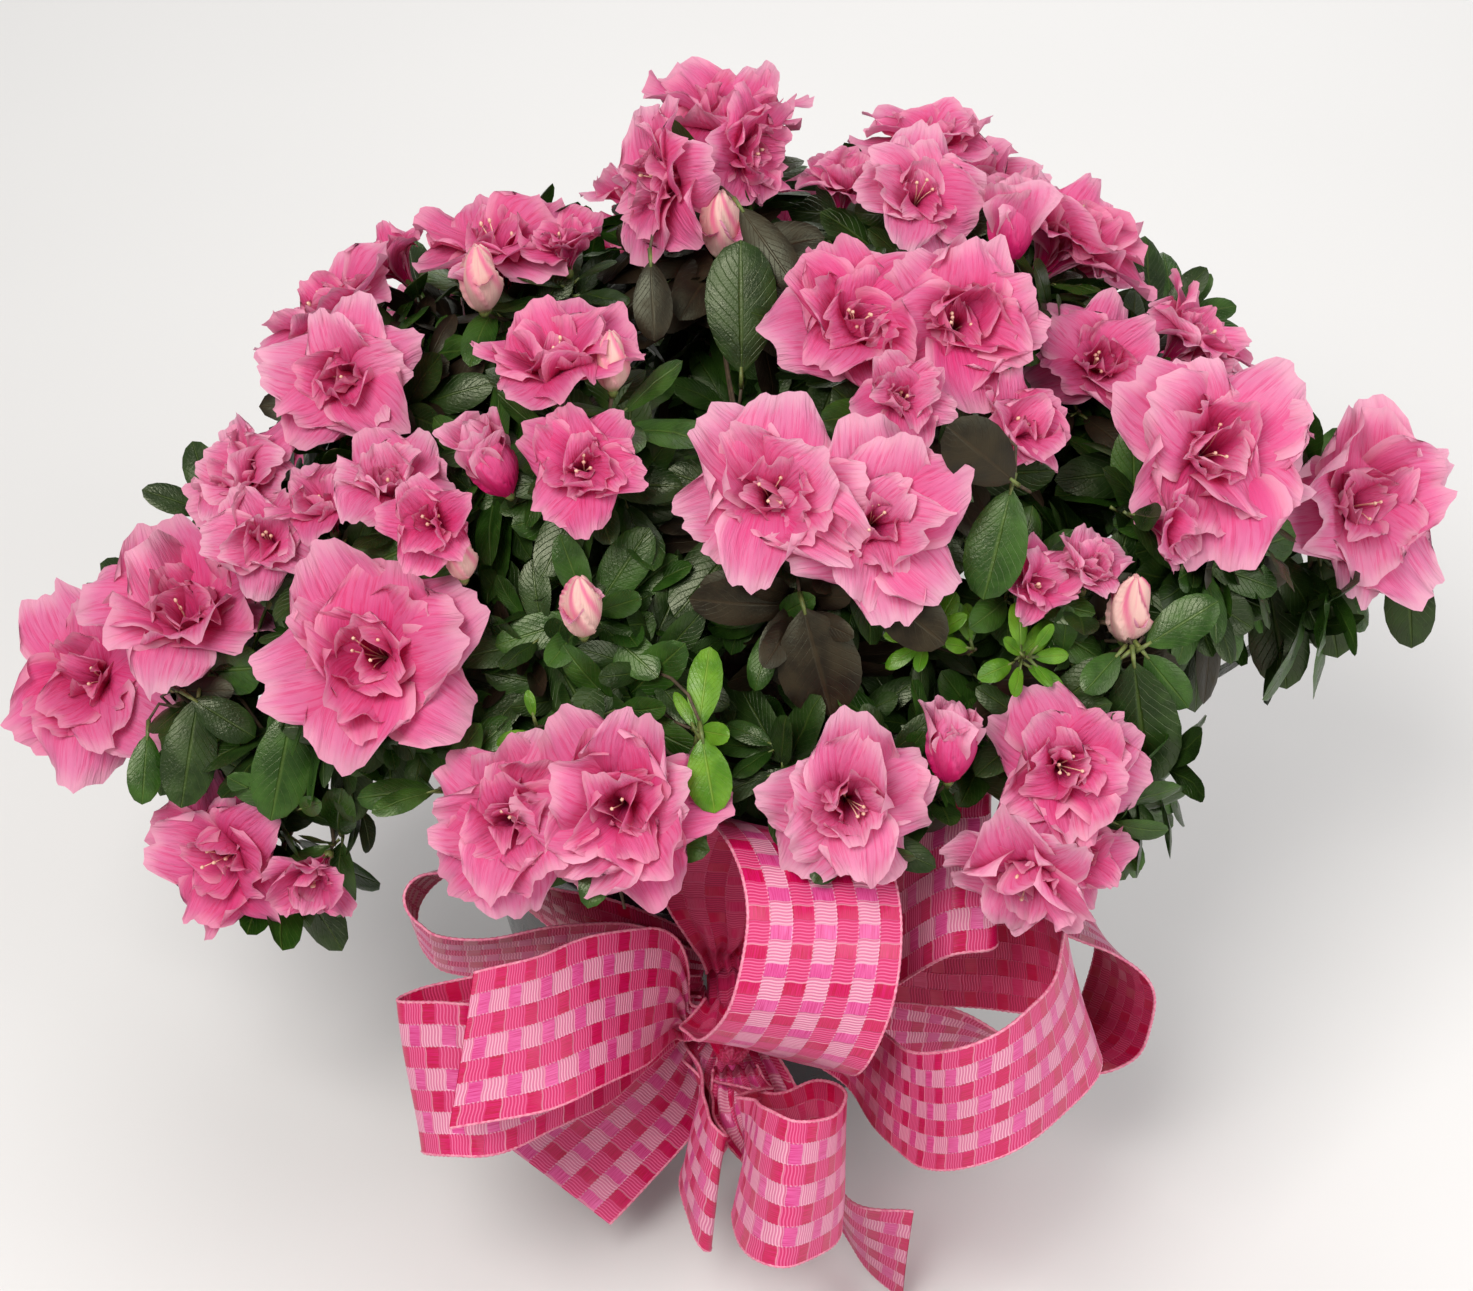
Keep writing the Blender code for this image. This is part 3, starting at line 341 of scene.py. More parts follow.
def bough_path(name, steps=4):
    """From beside the trunk, level at first, in an arch to the tip."""
    tier, tip = BOUGHS[name]
    tip = in_metres(tip)
    radial = unit((tip[0], tip[1], 0))
    start = trunk_middle(tier) + radial * (TRUNK_RADIUS + CLEARANCE)
    bend = start + radial * STRAIGHT_START
    length = norm(tip - bend)
    pull = bend + radial * 0.3 * length + np.array((0, 0, 0.12 * length))
    outward = unit(tip - bend) * 0.3 * length
    arch = bezier(bend, pull, tip - outward - np.array((0, 0, 0.14 * length)), tip, steps)
    return np.vstack([start, arch])


def stem_path(name, steps=2):
    """From the fork of the bough's tip to the mass's hub."""
    bough, hub = MASSES[name][0], HUBS[name]
    path = bough_path("bough_" + bough)
    ahead = unit(path[-1] - path[-2])
    sharers = [HUBS[other] for other in MASSES if MASSES[other][0] == bough]
    aside = np.zeros(3)
    if len(sharers) > 1:
        lean = hub - np.mean(sharers, axis=0)
        aside = unit(lean - ahead * lean.dot(ahead)) * STEM_OFFSET
    start = path[-1] + aside + ahead * CLEARANCE
    bend = start + ahead * STRAIGHT_START
    reach = norm(hub - bend)
    return np.vstack([start, bezier(bend, bend + ahead * 0.3 * reach, hub - (hub - bend) * 0.25, hub, steps)])


def shoots_of(name):
    """Every main shoot of a mass as (kind, tip, way, diameter): blooms, buds and leafy shoots."""
    leafy, blooms = MASSES[name][2:]
    found = []
    for x, y, z, diameter, facing in blooms:
        place = in_metres((x, y, z))
        outward_share, pull = FACINGS[facing]
        way = unit(unit(place - CROWN_HEART) * outward_share + np.array(pull))
        kind = "bud" if diameter < BUD_SIZE else "bloom"
        found.append((kind, place, unit(way + TURNED.get(name, 0)), diameter * MM))
    draw = random.Random(name)
    outward = unit(HUBS[name] - CROWN_HEART)
    for i in range(leafy):
        polar = radians(38 + 52 * (i + 0.5) / leafy)
        around = GOLDEN_ANGLE * i + draw.uniform(0, 1.2)
        way = unit(outward * cos(polar) + spokes(outward, around)[0] * sin(polar))
        tip = HUBS[name] + way * draw.uniform(17, 25) * MM
        found.append(("leafy", tip, unit(way + outward * 0.4), 0))
    return found


def keeps_to_cell(name, point):
    """True where the point is in the crown and, but for an overlap, nearest to its own hub."""
    if (((point - CROWN_MIDDLE) / CROWN_SIZE) ** 2).sum() > 1 or point[2] < CROWN_LOWEST:
        return False
    own = norm(point - HUBS[name])
    return all(norm(point - hub) > own - CELL_OVERLAP for hub in HUBS.values())


# What has grown so far, and the blooms and hard things that the leaves keep clear of.

LEAF_ROOM = 5 * MM
LEAF_GRID = 8 * MM
BLOOM_HEIGHTS = (-0.55, -0.5, -0.25, -0.08, 0.1, 0.3)
BLOOM_SPREADS = (0.02, 0.07, 0.2, 0.53, 0.55, 0.3)
BOW_CLEAR = np.array((95, -80, 161)) * MM  # no leaves hang in front of the bow: half width, front of, below

heaps = defaultdict(Pile)
leaf_middles = defaultdict(list)
blooms = [shoot[1:] for name in MASSES for shoot in shoots_of(name) if shoot[0] != "leafy"]
bloom_places, bloom_axes, bloom_sizes = [np.array(column) for column in zip(*blooms)]


def in_bloom(points):
    """True where a point is inside a bloom's cup."""
    offset = points[:, None] - bloom_places[None]
    height = (offset * bloom_axes).sum(-1)
    spread = norm(offset - height[..., None] * bloom_axes, axis=-1)
    profile = np.interp(height / bloom_sizes, BLOOM_HEIGHTS, BLOOM_SPREADS, left=0, right=0)
    return bool((spread / bloom_sizes < profile).any())


def cell_of(place):
    return tuple(np.floor(place / LEAF_GRID).astype(int))


def room_for(middle):
    x, y, z = cell_of(middle)
    return all(norm(other - middle) >= LEAF_ROOM
               for dx, dy, dz in product((-1, 0, 1), repeat=3)
               for other in leaf_middles.get((x + dx, y + dy, z + dz), ()))


def hard_things():
    """The pot, the soil and the bow as one tree to measure distances from."""
    points, faces = [], []
    for name, node in nodes.items():
        if name in ("pot", "soil") or name.startswith("ribbon"):
            start = len(points)
            points += [vertex.co.copy() for vertex in node.data.vertices]
            faces += [tuple(start + index for index in polygon.vertices) for polygon in node.data.polygons]
    return BVHTree.FromPolygons(points, faces)


hard = hard_things()


def near_hard(points, gap):
    return any(hard.find_nearest(Vector(point), gap)[0] is not None for point in points)


LEAF_ACROSS = np.array((-1, -0.55, 0, 0.55, 1))
LEAF_ALONG = np.array((0, 0.1, 0.22, 0.38, 0.55, 0.7, 0.83, 0.94))
LEAF_WIDTH_SHARE = 0.45
PETIOLE = 2.6 * MM
PETAL_ACROSS = np.linspace(-1, 1, 17)
PETAL_ALONG = np.linspace(0, 1, 12) ** 0.9


def leaf_surface(root, way, up, length, width, arch, fold, wave):
    """An elliptic leaf, arched along, folded at its midrib, with its margins turned back down."""
    side = unit(np.cross(way, up))
    normal = np.cross(side, way)
    s = LEAF_ALONG[:, None]
    t = LEAF_ACROSS[None]
    half = 0.5 * width * (0.06 + 0.94 * 2.65 * s**0.8 * (1 - s) ** 0.62)
    along = length * (s - 0.4 * arch**2 * s**3) + 0 * t
    lift = -arch * length * s**2 + half * (fold * np.abs(t) - 0.3 * np.abs(t) ** 3)
    lift = lift + wave * half * np.sin(9 * s + 2 * t)
    points = root + along[..., None] * way + (half * t)[..., None] * side + lift[..., None] * normal
    tip = root + way * length * (1 - 0.4 * arch**2) - normal * arch * length
    return points, grid((t + 1) / 2, s), tip


def petal_surface(length, half_width, opening, cup, ruffle, draw):
    """A petal as distances out from its bloom's axis, aside and along the axis, from its foot. It
    opens from the tube, turns on at its tip, twists a little, and its margin is drawn up in waves."""
    phases = [draw.uniform(0, tau) for _ in range(5)]
    curl = radians(draw.uniform(-20, 34))
    roll = draw.uniform(-0.5, 0.3)
    crease = draw.uniform(-0.2, 0.7)
    twist = draw.uniform(-0.45, 0.45)
    q_fine = np.linspace(0, 1.05, 70)
    lean = radians(12) + (radians(opening) - radians(12)) * smoothstep(0.2, 0.66, q_fine)
    lean = lean + curl * smoothstep(0.55, 1.05, q_fine)
    step = q_fine[1] * length
    s = PETAL_ALONG[:, None]
    t = PETAL_ACROSS[None]
    notch = 0.05 * np.exp(-((t / 0.16) ** 2)) * (crease > 0.4) + 0.025 * np.sin(5 * t + phases[0])
    notch = notch + 0.016 * np.sin(13 * t + phases[4])
    q = s * (1 - s**2 * (0.37 * (1 - np.sqrt(1 - 0.98 * np.abs(t) ** 2.2)) + notch))
    half = length * (0.05 + (half_width - 0.05) * smoothstep(0, 0.7, s)) * (1 - 0.2 * smoothstep(0.75, 1, s))
    half = half * (1 + 0.05 * np.sin(9 * s + phases[1] + 2 * (t > 0)) * s)
    around = np.arctan2(1.1 * t, s - 0.35)
    to_margin = smoothstep(0.3, 1.05, np.sqrt((0.95 * t) ** 2 * smoothstep(0, 0.5, s) + s**4 * 0.6))
    raised = s * cup * t**2 * (1 - 0.5 * s) + s**2 * roll * smoothstep(0.3, 1, np.abs(t)) * 0.3
    raised = raised - 0.06 * crease * np.exp(-((t / 0.2) ** 2)) * s * (1 - 0.4 * s)
    for power, (height, waves) in enumerate(((0.055, 3.2), (0.04, 8), (0.011, 17)), 1):
        raised = raised + ruffle * height * to_margin**power * np.sin(waves * around + phases[power])
    raised = raised + ruffle * 0.04 * np.sin(5 * s + 1.5 * t + phases[3]) * s
    raised = length * (raised + twist * half / length * t * s)
    tilt = np.interp(q, q_fine, lean)
    radial = np.interp(q, q_fine, np.cumsum(np.sin(lean)) * step) - np.cos(tilt) * raised
    axial = np.interp(q, q_fine, np.cumsum(np.cos(lean)) * step) + np.sin(tilt) * raised
    aside = half * t + 0.1 * length * s**2 * sin(phases[4])
    return np.stack([radial, aside, axial], -1), grid((t + 1) / 2, s)


def add_petal(tone, surface, foot, axis, angle):
    """Sets a petal's surface on its foot, at this angle round an axis."""
    shape, places = surface
    spoke, aside = spokes(axis, angle)
    points = foot + shape[..., :1] * spoke + shape[..., 1:2] * aside + shape[..., 2:] * axis
    heaps["petals_" + tone].add(points, places)


# Each whorl of a double bloom: petals, length and half width as shares of the diameter, opening in
# degrees, cup, ruffle, and how far above the calyx it starts.
FULL_WHORLS = (
    (5, 1.0, 0.345, 88, 0.04, 1.1, 0), (5, 0.86, 0.32, 64, 0.1, 1.5, 0.03),
    (4, 0.68, 0.24, 42, 0.2, 2.1, 0.06), (3, 0.54, 0.17, 20, 0.3, 2.4, 0.09),
)
HALF_WHORLS = (
    (5, 1.0, 0.345, 74, 0.1, 1.1, 0), (4, 0.84, 0.3, 42, 0.2, 1.7, 0.05), (3, 0.62, 0.2, 18, 0.35, 2.2, 0.08),
)
FULL_BLOOM = 27 * MM
PETAL_TONES = ("pale", "mid", "deep")


def bloom(place, axis, diameter, draw):
    """A ruffled double bloom on its calyx, its whorls each more upright than the one outside it."""
    calyx = place - axis * BLOOM_DEPTH_SHARE * diameter
    turn = draw.uniform(0, tau)
    openness = draw.uniform(0.85, 1.06)
    fuller_side, fuller = draw.uniform(0, tau), draw.uniform(4, 20)
    shade = draw.choice((-1, 0, 0, 1))
    fullness = draw.uniform(0.72, 1)
    whorls = FULL_WHORLS if diameter >= FULL_BLOOM else HALF_WHORLS
    for level, (count, length, half, opening, cup, ruffle, start) in enumerate(whorls):
        count = round(count * fullness) if level else count + (draw.random() < 0.35)
        for k in range(count):
            angle = turn + tau * (k + 0.5 * (level % 2)) / count + draw.uniform(-0.2, 0.2)
            opens = opening * openness + fuller * cos(angle - fuller_side) + draw.uniform(-13, 10)
            surface = petal_surface(
                length * diameter * draw.uniform(0.84, 0.97), half * draw.uniform(0.86, 1.12) / length,
                opens, cup, ruffle * draw.uniform(0.6, 1.25), draw)
            # The inner whorls (level > 1) take a tone one deeper: painted shade deep in the bloom. The rest
            # of the shift is the bloom's own tone, at random.
            tone = int(np.clip(1 + shade + (level > 1) + (draw.random() < 0.35) * draw.choice((-1, 1)), 0, 2))
            add_petal(PETAL_TONES[tone], surface, calyx + axis * start * diameter, axis, angle)
    add_calyx(calyx, axis, diameter, draw)
    for _ in range(draw.randint(2, 5)):
        add_stamen(calyx, axis, diameter, draw)


def add_stamen(calyx, axis, diameter, draw):
    """A fine curved thread with a grain of pollen sac at its end."""
    spoke = spokes(axis, draw.uniform(0, tau))[0]
    high = draw.uniform(0.42, 0.58) * diameter
    out = draw.uniform(0.03, 0.12) * diameter
    path = bezier(calyx, calyx + axis * 0.4 * high, calyx + axis * 0.8 * high + spoke * 0.3 * out,
                  calyx + axis * high + spoke * out, 5)
    heaps["stamens"].tube(path, [0.16 * MM] * 6, 4)
    sac = [path[-1] + axis * along * MM for along in (-0.5, 0, 0.6, 1.0)]
    heaps["stamens"].tube(sac, np.array((0.2, 0.5, 0.5, 0.2)) * MM, 5)


def add_calyx(calyx, axis, diameter, draw):
    """The swollen calyx with five small sepals."""
    path = [calyx - axis * 1.5 * MM, calyx, calyx + axis * 1.5 * MM]
    heaps["stalks"].tube(path, np.array((0.9, 1.7, 1.3)) * MM * (0.6 + diameter / (80 * MM)), 7)
    turn = draw.uniform(0, tau)
    for k in range(5):
        spoke = spokes(axis, turn + tau * k / 5)[0]
        points, places, tip = leaf_surface(calyx, unit(axis + spoke * 0.55), unit(axis - spoke),
                                           0.17 * diameter, 0.07 * diameter, -0.1, 0.3, 0)
        heaps["stalks"].add(points[::2], places[::2], last=tip, hub=(0.5, 1))


BUD_FILL = 0.36  # the body's radius as a share of the bud's size
BUD_TALL = 1.3
OPENING_BUD = 13 * MM
PINK_BUD = 16.5 * MM
BUD_LEAN = np.array((0, 0.25, 0.75))


def bud_stand(axis):
    """The way a bud stands: nearly upright on its twig."""
    return unit(axis * 0.45 + BUD_LEAN)


def bud_foot(place, axis, diameter):
    return place - bud_stand(axis) * 0.62 * diameter


def bud(place, axis, diameter):
    """A closed bud: petals rolled round each other, each edge a ridge that winds up to the tip, and on
    a larger one the first outer petals coming away."""
    stand = bud_stand(axis)
    side, other = across(stand)
    draw = random.Random("bud " + str(np.round(place, 4)))
    high = np.linspace(0, 1, 20)[:, None]
    turn = np.linspace(0, 1, 41)[None]
    body = BUD_FILL * diameter * np.sin(np.pi * np.clip(high, 0.015, 0.985) ** 0.85) ** 0.55
    roll = (4 * turn + 1.1 * high + draw.random()) % 1
    radius = body * (0.82 + 0.3 * roll**2) * (1 + 0.05 * np.sin(7 * high + 9 * turn))
    angle = tau * turn + 0 * high
    foot = bud_foot(place, axis, diameter)
    points = foot + (high * BUD_TALL * diameter + 0.05 * diameter * roll)[..., None] * stand
    points = points + (radius * np.cos(angle))[..., None] * side + (radius * np.sin(angle))[..., None] * other
    pink = diameter > PINK_BUD
    heaps["petals_mid" if pink else "buds"].add(
        points, grid(turn, high), last=foot + (BUD_TALL + 0.01) * diameter * stand, hub=(0.5, 1))
    if diameter > OPENING_BUD:
        turned = draw.uniform(0, tau)
        wraps = 7 if pink else 4
        for k in range(wraps):
            around = turned + tau * k / wraps + draw.uniform(-0.3, 0.3)
            long, opens = draw.uniform(0.6, 1.0), draw.uniform(20, 62)
            if pink:
                long, opens = long * 1.5, opens * 0.55
            surface = petal_surface(long * diameter, 0.3, opens, 0.7, 0.8, draw)
            add_petal("pale", surface, foot, stand, around)
    add_calyx(foot, stand, diameter * 1.6, draw)


def add_leaf(tone, surface, root, foot, way, foot_at, end_at, radii, sides):
    """Adds a leaf and its stalk, and keeps its middle for the leaves that come after it."""
    points, places, tip = surface
    leaf_middles[cell_of(points[4, 2])].append(points[4, 2])
    heaps["leaves_" + tone].add(points, places, last=tip, hub=(0.5, 1))
    path = [root, foot - way * foot_at * MM, foot + way * end_at * MM]
    heaps["stalks"].tube(path, np.array(radii) * MM, sides)


def leaf(name, root, spoke, ahead, rise, length, tone, draw):
    """Adds a leaf where there is room, on its stalk. Says whether it did."""
    way = unit(spoke + ahead * rise + np.array((0, 0, -0.12)))
    foot = root + way * PETIOLE
    width = length * LEAF_WIDTH_SHARE * draw.uniform(0.88, 1.1)
    surface = leaf_surface(foot, way, ahead, length, width, draw.uniform(0.04, 0.3),
                           draw.uniform(0.05, 0.45), draw.uniform(-0.14, 0.14))
    points, _, tip = surface
    probes = np.array([points[2, 2], points[4, 2], points[6, 2], tip, points[4, 0], points[4, 4]])
    x, y, z = probes.T
    fits = all(keeps_to_cell(name, probe) for probe in probes[1:4])
    fits = fits and not ((np.abs(x) < BOW_CLEAR[0]) & (y < BOW_CLEAR[1]) & (z < BOW_CLEAR[2])).any()
    fits = fits and not in_bloom(probes) and not near_hard(probes, 2 * MM) and room_for(probes[1])
    if fits:
        add_leaf(tone, surface, root, foot, way, 0.4, 1.2, (0.55, 0.5, 0.35), 3)
    return fits


def single_leaves(name):
    """The leaves that stand or hang apart, each from its foot to its tip, on a twig from the mass's hub."""
    for foot, tip, tone, width in SINGLE_LEAVES[name]:
        draw = random.Random(name + str(foot))
        foot, tip = in_metres(foot), in_metres(tip)
        way = unit(tip - foot)
        up = unit(VIEWED_FROM - foot)
        up = unit(up - way * up.dot(way))
        length = norm(tip - foot)
        root = foot - way * 4 * MM - up * 2 * MM
        surface = leaf_surface(foot, way, up, length, length * width, 0.12, 0.2, draw.uniform(-0.1, 0.1))
        add_leaf(tone, surface, root, foot, way, 1, 1.5, (0.7, 0.6, 0.4), 5)
        twig(HUBS[name], unit(root - HUBS[name]), root, way, FINE_TWIG, draw)


def spray(name, tip, ahead, count, length, draw, tone=None):
    """A rosette at the tip of a shoot: broad leaves below, small upright ones at its heart. Its tone,
    unless it is given, is dark or mid green, or more often bronze where the mass is."""
    if tone is None and draw.random() < BRONZE.get(name, 0.05):
        tone = "bronze"
    elif tone is None:
        tone = "green" if draw.random() < 0.45 else "dark"
    larger = LARGER_LEAVES.get(name, 1) if tone != "young" else 1
    length = length * MM * larger
    count = round(count / larger)
    turn = draw.uniform(0, tau)
    for i in range(count):
        share = i / max(count - 1, 1)
        root = tip - ahead * (1 - share) * 6 * MM
        size = length * (1 - 0.42 * share) * draw.uniform(0.88, 1.1)
        for attempt in range(3):
            spoke = spokes(ahead, turn + GOLDEN_ANGLE * i + 0.5 * attempt + draw.uniform(-0.2, 0.2))[0]
            rise = 0.12 + 0.85 * share + draw.uniform(-0.1, 0.15)
            if leaf(name, root, spoke, ahead, rise, size, tone, draw):
                break


def twig(start, start_way, tip, tip_way, radius, draw):
    """A slightly crooked twig that leaves its limb one way and ends the other."""
    reach = norm(tip - start)
    path = bezier(start, start + start_way * 0.35 * reach, tip - tip_way * 0.35 * reach, tip, 6)
    wander = np.array([draw.uniform(-1, 1) for _ in range(3)]) * 0.03 * reach
    path = path + np.sin(np.linspace(0, pi, 7))[:, None] * wander
    heaps["twigs"].tube(path, np.linspace(radius, 0.7 * radius, 7), 5)
    return path


def placed_spray(name, tip, ahead, count, length, draw, tone=None):
    """A spray whose tip is given, in mm, on a twig from the mass's hub."""
    tip, ahead = in_metres(tip), unit(ahead)
    twig(HUBS[name], unit(tip - HUBS[name]), tip, ahead, FINE_TWIG, draw)
    spray(name, tip, ahead, count, length, draw, tone)


def side_shoots(name, path, stations, reach, length, count, draw):
    """Short twigs with a rosette each, spaced along a limb's path and turned by the golden angle. Reach
    and length are the least and the most, in mm."""
    ahead = unit(path[-1] - path[0])
    turn = draw.uniform(0, tau)
    run = np.linspace(0, 1, len(path))
    for i, station in enumerate(stations):
        start = np.array([np.interp(station, run, path[:, axis]) for axis in range(3)])
        spoke = spokes(ahead, turn + GOLDEN_ANGLE * i)[0]
        outward = unit(start - CROWN_HEART)
        way = unit(spoke * 0.85 + ahead * 0.35 + outward * 0.55)
        tip = start + way * draw.uniform(*reach) * MM
        way = unit(way + outward * 0.7 + UP * 0.15)
        if keeps_to_cell(name, tip) and not in_bloom(np.array([tip])) and not near_hard([tip], 3 * MM):
            twig(start, unit(spoke + ahead), tip, way, FINE_TWIG, draw)
            spray(name, tip, way, count, draw.uniform(*length), draw)


def kept_shoots(name):
    """The mass's main shoots that keep to its cell, each with where it leaves the stem."""
    stem = stem_path(name)
    draw = random.Random(name + " twigs")
    found = []
    for kind, place, way, diameter in shoots_of(name):
        station, _ = draw.uniform(0.25, 0.95), draw.random()
        if kind != "leafy" or keeps_to_cell(name, place):
            found.append((kind, stem[-2] + (stem[-1] - stem[-2]) * station, place, way, diameter))
    return found


def grow():
    """The whole crown: what carries blooms first, then the main sprays, then the finer ones inside."""
    for name in MASSES:
        draw = random.Random(name + " blooms")
        stem_way = unit(stem_path(name)[-1] - stem_path(name)[-2])
        for kind, start, place, way, diameter in kept_shoots(name):
            if kind == "bloom":
                twig(start, stem_way, place - way * BLOOM_DEPTH_SHARE * diameter, way, TWIG_RADIUS, draw)
                bloom(place, way, diameter, draw)
            elif kind == "bud":
                twig(start, stem_way, bud_foot(place, way, diameter), way, TWIG_RADIUS, draw)
                bud(place, way, diameter)
    for name in SINGLE_LEAVES:
        single_leaves(name)
    for name, sprays in YOUNG_SPRAYS.items():
        for i, row in enumerate(sprays):
            placed_spray(name, *row, random.Random(f"{name} young {i}"), "young")
    for name in MASSES:
        draw = random.Random(name + " whorls")
        stem_way = unit(stem_path(name)[-1] - stem_path(name)[-2])
        for kind, start, place, way, diameter in kept_shoots(name):
            if kind == "leafy":
                spray(name, place, way, 9, draw.uniform(24, 33), draw)
                path = twig(start, stem_way, place, way, TWIG_RADIUS, draw)
                if name not in SPARSE:
                    side_shoots(name, path, (0.35, 0.7), (10, 17), (19, 27), 7, draw)
            else:
                calyx = place - way * (BLOOM_DEPTH_SHARE if kind == "bloom" else 1.0) * diameter
                spray(name, calyx - way * 4 * MM, way, 7, draw.uniform(25, 34), draw)
    for name in MASSES:
        stations = (0.5, 0.85) if name in SPARSE else (0.25, 0.4, 0.55, 0.7, 0.85, 0.97)
        draw = random.Random(name + " inner")
        side_shoots(name, stem_path(name, 8), stations, (13, 24), (20, 29), 8, draw)
    for row in INNER_SPRAYS:
        tip = in_metres(row[0])
        name = min(MASSES, key=lambda mass: norm(HUBS[mass] - tip))
        placed_spray(name, *row, random.Random(f"inner {row[0]}"))
    for name, hub in HUBS.items():
        draw = random.Random(name + " hub")
        for _ in range(2 if name in SPARSE else HUB_SHOOTS):
            out = unit([draw.gauss(0, 1) for _ in range(3)])
            tip = hub + out * draw.uniform(12, 26) * MM
            way = unit(out + 0.6 * unit(hub - CROWN_HEART))
            if keeps_to_cell(name, tip) and not in_bloom(np.array([tip])):
                twig(hub, out, tip, way, FINE_TWIG, draw)
                spray(name, tip, way, 7, draw.uniform(20, 29), draw)
    for name in BOUGHS:
        mass = next(mass for mass, row in MASSES.items() if "bough_" + row[0] == name)
        side_shoots(mass, bough_path(name, 12), (0.45, 0.58, 0.7, 0.8, 0.9, 0.97), (14, 26), (20, 29), 8,
                    random.Random(name + " inner"))


# Masses with few shoots of their own.
SPARSE = ("foliage_left_low", "foliage_right_far", "foliage_front_right")
HUB_SHOOTS = 9
LARGER_LEAVES = named(
    "foliage_", right_far=1.2, left_low=1.1, right=1.2, left_far=1.15, top=1.15, centre_right=1.15)
BRONZE = named(
    "foliage_", top=0.5, centre=0.6, left_upper=0.5, centre_right=0.4, rear_left_upper=0.35, right_mid=0.3,
    front_mid=0.3)
VIEWED_FROM = np.array((0, -688, 650)) * MM  # where the leaves that stand apart turn their faces

# Leaves that stand or hang apart from the rest: foot and tip in mm, tone, and width as a share of length.
SINGLE_LEAVES = named(
    "foliage_",
    right_far=[((152, -14, 167), (159, -26, 136), "dark", 0.5), ((166, -12, 172), (173, -22, 144), "dark",
        0.5), ((193, -2, 167), (196, -12, 140), "dark", 0.5), ((195, 0, 169), (199, -4, 153), "green", 0.55)],
    right_low=[((106, -92, 203), (123, -90, 215), "green", 0.55), ((103, -94, 199), (108, -106, 167), "dark",
        0.58), ((100, -93, 200), (83, -98, 188), "dark", 0.5), ((99, -94, 202), (90, -104, 198), "green",
        0.6), ((106, -92, 200), (118, -97, 186), "green", 0.5)],
    left_low=[((-137, -72, 172), (-141, -92, 151), "dark", 0.5), ((-138, -74, 173), (-122, -80, 165), "dark",
        0.55), ((-111, -80, 175), (-117, -98, 151), "green", 0.5), ((-97, -82, 166), (-96, -95, 148), "dark",
        0.5), ((-142, -69, 172), (-128, -73, 175), "bronze", 0.5), ((-151, -75, 162), (-152, -88, 149),
        "green", 0.5)],
    centre_right=[((71, -84, 247), (55, -91, 266), "bronze", 0.62), ((71, -80, 242), (64, -96, 220), "green",
        0.55)],
    centre=[((20, -98, 219), (27, -112, 196), "bronze", 0.75), ((36, -98, 227), (54, -109, 216), "bronze",
        0.6)],
    top=[((5, -12, 283), (19, -30, 270), "bronze", 0.4), ((-18, -20, 272), (-17, -35, 258), "bronze", 0.5),
        ((5, -40, 251), (5, -25, 281), "dark", 0.55)],
    heart=[((-6, -116, 196), (-3, -102, 211), "young", 0.42), ((-5, -121, 197), (-2, -133, 183), "young",
        0.6), ((-6, -118, 197), (1, -124, 200), "young", 0.6), ((-7, -117, 197), (-12, -110, 203), "young",
        0.3)])
# Sprays of young leaves: tip in mm, the way they face, leaves, and length in mm.
YOUNG_SPRAYS = named(
    "foliage_",
    centre=[((63, -96, 205), (0.2, -0.6, 0.8), 11, 13), ((50, -98, 210), (-0.3, -0.6, 0.8), 10, 12)],
    right_low=[((76, -98, 204), (0.5, -0.6, 0.7), 9, 13)],
    heart=[((-46, -110, 192), (-0.3, -0.5, 0.8), 4, 11)],
    top=[((6, -60, 243), (0, -0.4, 0.9), 6, 13)])
# Sprays that close the crown where the rest leave it thin: tip in mm, the way they face, leaves, length.
INNER_SPRAYS = [
    ((89, 2, 182), (0, -0.5, 0.8), 9, 27), ((86, -14, 192), (0.2, -0.5, 0.8), 8, 24), ((113, 75, 206),
    (0.1, -0.5, 0.8), 9, 26), ((119, 108, 188), (0.2, -0.4, 0.8), 8, 25), ((136, 80, 196), (0.2, -0.5, 0.8),
    8, 24), ((-71, -112, 174), (-0.3, -0.5, 0.7), 8, 25), ((-50, -36, 192), (0, -0.5, 0.8), 8, 24),
    ((-49, -26, 186), (-0.3, -0.4, 0.8), 8, 24), ((-11, -50, 186), (0.1, -0.5, 0.8), 8, 24), ((-10, -58, 193),
    (0.2, -0.5, 0.8), 8, 24), ((-141, -2, 182), (-0.2, -0.5, 0.8), 8, 24), ((24, 88, 196), (0, 0, 1), 9, 26),
    ((34, 76, 200), (0.3, 0, 1), 8, 25), ((16, 98, 190), (-0.3, 0.2, 1), 8, 25), ((128, 66, 204),
    (0.3, -0.5, 0.8), 9, 26), ((136, 104, 178), (0.4, -0.4, 0.8), 8, 24), ((3, -8, 219), (0, -0.5, 0.8), 8,
    22), ((2, 10, 210), (0, -0.5, 0.8), 8, 24), ((3, 24, 202), (0.2, -0.5, 0.8), 8, 25),
]


# The bow

WEAVE_REACH = 0.6  # metres of ribbon over the whole height of its pattern
FACE_BAND = (0.02, 0.46)  # the front's start and width on the pattern; the reverse's starts half way
RIBBON_STEPS = 10
PLEATS = 4
PLEAT_DEPTH = 1.1 * MM


